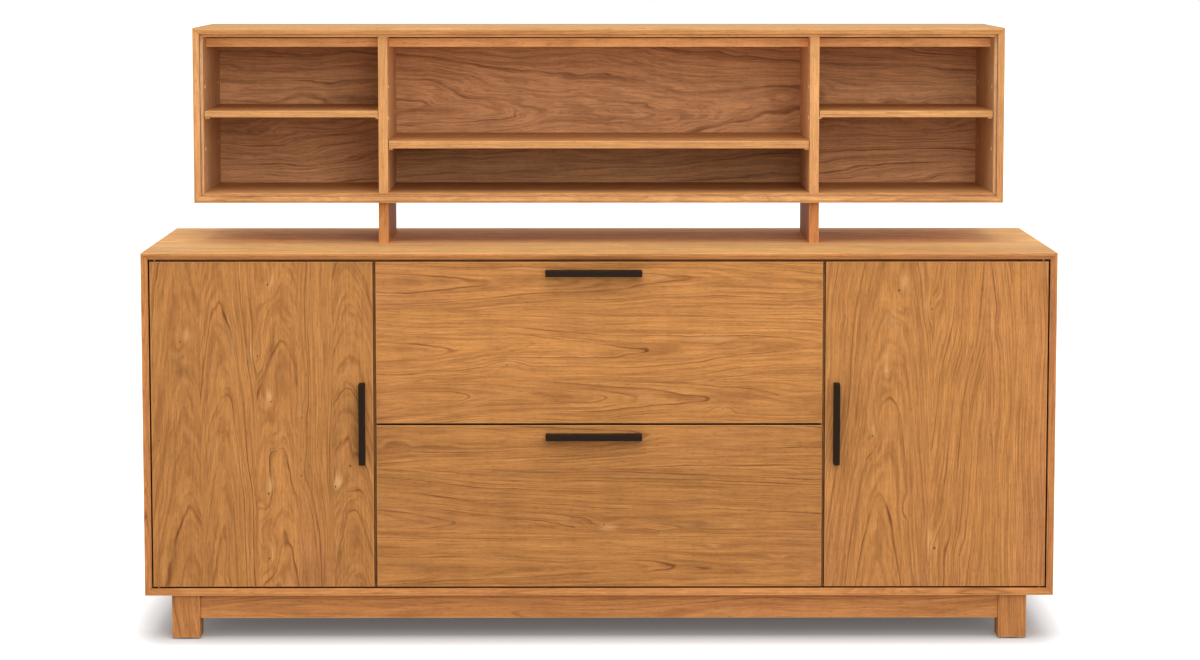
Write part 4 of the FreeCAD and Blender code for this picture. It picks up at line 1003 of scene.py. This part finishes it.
class CREDENZA_OT_hutch(bpy.types.Operator):
    """Finish the hutch, its dividers, its shelves and its posts"""
    bl_idname = "credenza.hutch"
    bl_label = "Hutch"

    def execute(self, context):
        # The shades above 1 on the hutch's top, rails, back, sides and dividers are painted light
        # on faces that the lamps leave dim
        finish_boards(("hutch_top", "hutch", "X", "Y", 22.3, 1.30),
                      ("hutch_bottom", "hutch", "X", "Y", 24.8, 0.96),
                      ("hutch_back", "veneer", "X", "Z", 26.1, 1.13),
                      ("hutch_top_rails", "hutch", "X", "Z", 28.7, 1.50),
                      ("hutch_shelf_center", "hutch", "X", "Y", 30.2, 0.96),
                      ("hutch_post_tenons", "maple", "Z", "Y", 31.0, 1.0, 0.0),
                      ("hutch_side_{}", "hutch", "Z", "Y", 33.5, 1.16),
                      ("hutch_divider_{}", "hutch", "Z", "Y", 36.4, 1.12),
                      ("hutch_post_{}", "shell", "Z", "Y", 39.8, 1.05),
                      ("hutch_shelf_{}", "hutch", "X", "Y", 42.6))
        return {"FINISHED"}


class CREDENZA_OT_doors(bpy.types.Operator):
    """Finish the doors with upright grain"""
    bl_idname = "credenza.doors"
    bl_label = "Doors"

    def execute(self, context):
        finish_boards(("door_left_panel", "wild", "Z", "X", 45.35, 0.95, 0.0),
                      ("door_right_panel", "plain", "Z", "X", 48.1, 1.03, 0.0))
        return {"FINISHED"}


class CREDENZA_OT_drawers(bpy.types.Operator):
    """Finish the file drawers, with level grain on their fronts"""
    bl_idname = "credenza.drawers"
    bl_label = "Drawers"

    def execute(self, context):
        for level, seed, shade in (("upper", 51.4, 1.02), ("lower", 54.7, 0.95)):
            finish_boards((f"drawer_{level}_front", "flowing", "X", "Z", seed, shade, 0.0),
                          (f"drawer_{level}_box_sides", "maple", "Y", "Z", seed + 1),
                          (f"drawer_{level}_box_ends", "maple", "X", "Z", seed + 2),
                          (f"drawer_{level}_box_bottom", "maple", "X", "Y", seed + 3))
            finish_node(f"drawer_{level}_file_rails", finish("plated_steel"))
        return {"FINISHED"}


class CREDENZA_OT_pulls(bpy.types.Operator):
    """Make the ebonised bar pulls, each with a finger groove along its hidden side"""
    bl_idname = "credenza.pulls"
    bl_label = "Pulls"

    def execute(self, context):
        for owner, hidden, grain in (("door_left", LEFT, "upright"),
                                     ("door_right", RIGHT, "upright"),
                                     ("drawer_upper", DOWN, "level"),
                                     ("drawer_lower", DOWN, "level")):
            bm = bmesh.new()
            block(bm, *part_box(f"{owner}_pull"), PULL_SOFT, PULL_SEGMENTS)
            groove = [face for face in bm.faces if face.normal.dot(hidden) > SQUARELY]
            bmesh.ops.inset_region(bm, faces=groove, thickness=GROOVE_RIM, use_even_offset=True)
            bmesh.ops.inset_region(bm, faces=groove, thickness=GROOVE_SLOPE,
                                   depth=-GROOVE_DEPTH, use_even_offset=True)
            pull = new_piece(f"{owner}_bar", bm, owner, finish(f"ebonised_{grain}"))
            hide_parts(f"{owner}_pull")
        return {"FINISHED"}


class CREDENZA_OT_fittings(bpy.types.Operator):
    """Finish the hinges, catches, strikes, slides, sleeves and shelf pins"""
    bl_idname = "credenza.fittings"
    bl_label = "Fittings"

    def execute(self, context):
        bronze, steel = finish("dark_bronze"), finish("plated_steel")
        for name, _ in SIDES:
            finish_node(f"door_{name}_hinge_leaves", bronze, METAL_SOFT)
            finish_node(f"door_{name}_strike", steel, METAL_SOFT)
        finish_node("hinge_case_leaves", bronze, METAL_SOFT)
        finish_node("slide_case_members", steel)
        self.pins()
        self.catches()
        self.hinge_screws()
        self.frame_screws()
        for level in LEVELS:
            finish_node(f"slide_{level}_carriages", steel)
            finish_node(f"drawer_{level}_slides", steel)
        return {"FINISHED"}

    def pins(self):
        """Turned brass sleeves in the hutch, and a collared pin under each shelf's corner."""
        walls = [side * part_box(node)[end][0] for node, end in (
            ("hutch_side_right", 0), ("hutch_divider_right", 0), ("hutch_divider_right", 1),
            ("case_side_right", 0), ("case_divider_right", 1)) for side in (-1, 1)]
        sleeve = turned("pin_sleeve", SLEEVE_OUTLINE, closed=True)
        pin = turned("shelf_pin", PIN_OUTLINE)
        for shape, node, name in ((sleeve, "hutch_pin_sleeves", "turned_sleeves"),
                                  (pin, "shelf_pins", "turned_shelf_pins")):
            piece = new_piece(name, repeated(shape, pegs(node, walls)), "carcass",
                              finish("satin_brass"))
            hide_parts(node)

    def catches(self):
        """Magnetic catches: a moulded body, and a magnet between two steel plates."""
        bodies, plates, magnets = bmesh.new(), bmesh.new(), bmesh.new()
        for low, high in solids_of("door_catches"):
            block(bodies, low + CATCH_BACK * REARWARD, high, CATCH_SOFT)
            middle = (low[0] + high[0]) / 2
            # Each part's left and right sides from the middle, and how far back it starts
            for bm, left, right, sink in ((plates, -3.9, -2.5, 0.0), (plates, 2.5, 3.9, 0.0),
                                          (magnets, -2.4, 2.4, 0.6)):
                start = Vector((middle + left * MM, low[1] + sink * MM, low[2] + CATCH_END))
                end = Vector((middle + right * MM, low[1] + CATCH_REACH, high[2] - CATCH_END))
                block(bm, start, end, PART_SOFT)
        body = new_piece("catch_bodies", bodies, "carcass",
                         finish("dark_plastic"))
        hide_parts("door_catches")
        new_piece("catch_plates", plates, "carcass", finish("plated_steel"))
        new_piece("catch_magnets", magnets, "carcass", finish("ferrite"))

    def hinge_screws(self):
        """Two screws in each leaf of the hinges and in each strike."""
        for name, side in SIDES:
            places = []
            for low, high in solids_of(f"door_{name}_hinge_leaves"):
                level, facing = (high[2], UP) if low[2] > HINGE_MIDDLE else (low[2], DOWN)
                places += self.leaf_places(low, high, side, level, facing)
            low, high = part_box(f"door_{name}_strike")
            x, _, z = (low + high) / 2
            places += [(Vector((x, high[1] - STRIKE_SINK, z + drop * MM)), REARWARD)
                       for drop in STRIKE_SCREWS]
            screws(f"door_{name}_screws", places, f"door_{name}")
        bottom, top = (corner[2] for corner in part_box("door_left_panel"))
        places = []
        for low, high in solids_of("hinge_case_leaves"):
            level, facing = ((top + HINGE_GAP, DOWN) if low[2] > HINGE_MIDDLE
                             else (bottom - HINGE_GAP, UP))
            places += self.leaf_places(low, high, 1 if low[0] > 0.0 else -1, level, facing)
        screws("case_leaf_screws", places, "carcass")

    def leaf_places(self, low, high, side, level, facing):
        """Two screws along a leaf, clear of its pivot."""
        inner = low[0] if side > 0 else high[0]
        middle = (low[1] + high[1]) / 2
        return [(Vector((inner + side * away * MM, middle, level)), facing)
                for away in LEAF_SCREWS]

    def frame_screws(self):
        """Screws in the base's angles, and in the backs where they cross the dividers."""
        places = []
        for low, high in solids_of("base_angles"):
            middle = (low + high) / 2
            long_way, other = (0, 1) if abs(middle[0]) < ANGLE_REACH else (1, 0)
            side = -1 if middle[other] < 0.0 else 1
            inward = Vector((0.0, 0.0, 0.0))
            inward[other] = -side
            for shift in ANGLE_SCREWS:
                middle[long_way] = (low[long_way] + high[long_way]) / 2 + shift * MM
                above, beside = middle.copy(), middle.copy()
                above[other] -= side * ANGLE_OFF
                above[2] = high[2] - ANGLE_METAL
                beside[other] = (low if side < 0 else high)[other] - side * ANGLE_METAL
                beside[2] -= ANGLE_OFF
                places += [(above, DOWN), (beside, inward)]
        for back, divider, count in BACK_SCREWS:
            low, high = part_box(divider)
            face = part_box(back)[1][1]
            for _, side in SIDES:
                for index in range(count):
                    rise = low[2] + (high[2] - low[2]) * (index + 0.5) / count
                    places.append((Vector((side * (low[0] + high[0]) / 2, face, rise)), REARWARD))
        screws("frame_screws", places, "carcass")


# Lamps: place, target and size; the floor's half width, and where its shadow gives way to white
OVERHEAD = ((0.0, -1.9, 4.0), (0.0, 0.0, 0.5), 3.0)
FRONTAL = ((0.8, -5.6, 2.4), (0.0, 0.0, 0.8), 2.4)
FLOOR_REACH = 60.0
FLOOR_LIFT = (0.0, 0.17, 0.10, 0.98)
WHITE = (1.0, 1.0, 1.0, 1.0)


class CREDENZA_OT_stage(bpy.types.Operator):
    """Set the camera, the floor and the lights"""
    bl_idname = "credenza.stage"
    bl_label = "Stage"

    def execute(self, context):
        look = context.scene.stage_look
        self.camera(context, look)
        self.floor(look)
        self.world(context, look)
        self.lamp("overhead_light", *OVERHEAD, look.overhead)
        self.lamp("frontal_light", *FRONTAL, look.frontal)
        context.scene.view_settings.view_transform = "Standard"
        return {"FINISHED"}

    def camera(self, context, look):
        """Stands the camera in front of the case."""
        low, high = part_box("case_top")
        data = bpy.data.cameras.new("camera")
        data.lens = look.lens
        data.sensor_width = 36.0
        data.shift_y = -look.rise_shift
        camera = add_object("camera", data)
        camera.location = (look.camera_across, low[1] - look.camera_back,
                           high[2] + look.camera_rise)
        camera.rotation_euler = (math.pi / 2 - look.tilt, 0.0, -look.turn)
        context.scene.camera = camera

    def floor(self, look):
        """A wide pale floor that shows as white where nothing shades it."""
        bm = bmesh.new()
        bmesh.ops.create_grid(bm, x_segments=1, y_segments=1, size=FLOOR_REACH)
        floor = add_object("floor", as_mesh("floor", bm))
        material, make, both = new_material("pale_floor", "AddShader")
        shade = make.add("BsdfDiffuse", Color=(*look.floor, 1.0))
        point = make.parts()
        low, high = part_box("base_legs_front")
        past = [make.most(make.total(make.unsigned(point[axis]), -reach), 0.0)
                for axis, reach in (("X", high[0]), ("Y", -low[1]))]
        lift = make.ramp(make.length(*past), *FLOOR_LIFT)
        glow = make.add("Emission", Color=WHITE,
                        Strength=make.product(self.seen(make), lift))
        make.feed(both.inputs[0], shade.outputs[0])
        make.feed(both.inputs[1], glow.outputs[0])
        floor.data.materials.append(material)

    def seen(self, make):
        """1 for a camera, mirror or glass ray."""
        path = make.add("LightPath").outputs
        return make.most(path["Is Camera Ray"], path["Is Glossy Ray"],
                         path["Is Transmission Ray"])

    def world(self, context, look):
        """Even light from all round, with a white sky to look at."""
        world = bpy.data.worlds.new("studio")
        world.use_nodes = True
        world.node_tree.nodes.clear()
        make = Tree(world.node_tree)
        strength = make.ramp(self.seen(make), 0.0, 1.0, look.sky, 1.0)
        light = make.add("Background", Color=WHITE, Strength=strength)
        make.add("OutputWorld", Surface=light.outputs[0])
        context.scene.world = world

    def lamp(self, name, place, target, size, power):
        """A square soft light that faces a target."""
        data = bpy.data.lights.new(name, "AREA")
        data.size = size
        data.energy = power
        lamp = add_object(name, data)
        lamp.location = place
        facing = Vector(target) - Vector(place)
        lamp.rotation_euler = facing.to_track_quat("-Z", "Y").to_euler()


OPERATORS = (
    CREDENZA_OT_case,
    CREDENZA_OT_base,
    CREDENZA_OT_hutch,
    CREDENZA_OT_doors,
    CREDENZA_OT_drawers,
    CREDENZA_OT_pulls,
    CREDENZA_OT_fittings,
    CREDENZA_OT_stage,
)


class CREDENZA_PT_panel(bpy.types.Panel):
    """Lists the steps that finish the credenza"""
    bl_idname = "CREDENZA_PT_panel"
    bl_label = "Office Credenza"
    bl_space_type = "VIEW_3D"
    bl_region_type = "UI"
    bl_category = "Credenza"

    def draw(self, context):
        for look in (context.scene.wood_look, context.scene.trim_look, context.scene.stage_look):
            for name in look.__annotations__:
                self.layout.prop(look, name)
        for operator in OPERATORS:
            self.layout.operator(operator.bl_idname)


CLASSES = (WoodLook, TrimLook, StageLook, *OPERATORS, CREDENZA_PT_panel)
LOOKS = {"wood_look": WoodLook, "trim_look": TrimLook, "stage_look": StageLook}


def register():
    """Registers the classes and hangs the looks on the scene."""
    for item in CLASSES:
        bpy.utils.register_class(item)
    for name, look in LOOKS.items():
        setattr(bpy.types.Scene, name, PointerProperty(type=look))


def unregister():
    """Takes away what register adds."""
    for name in LOOKS:
        delattr(bpy.types.Scene, name)
    for item in reversed(CLASSES):
        bpy.utils.unregister_class(item)


def main():
    """Finishes the credenza."""
    register()
    for operator in OPERATORS:
        group, name = operator.bl_idname.split(".")
        getattr(getattr(bpy.ops, group), name)()


if __name__ == "__main__":
    main()
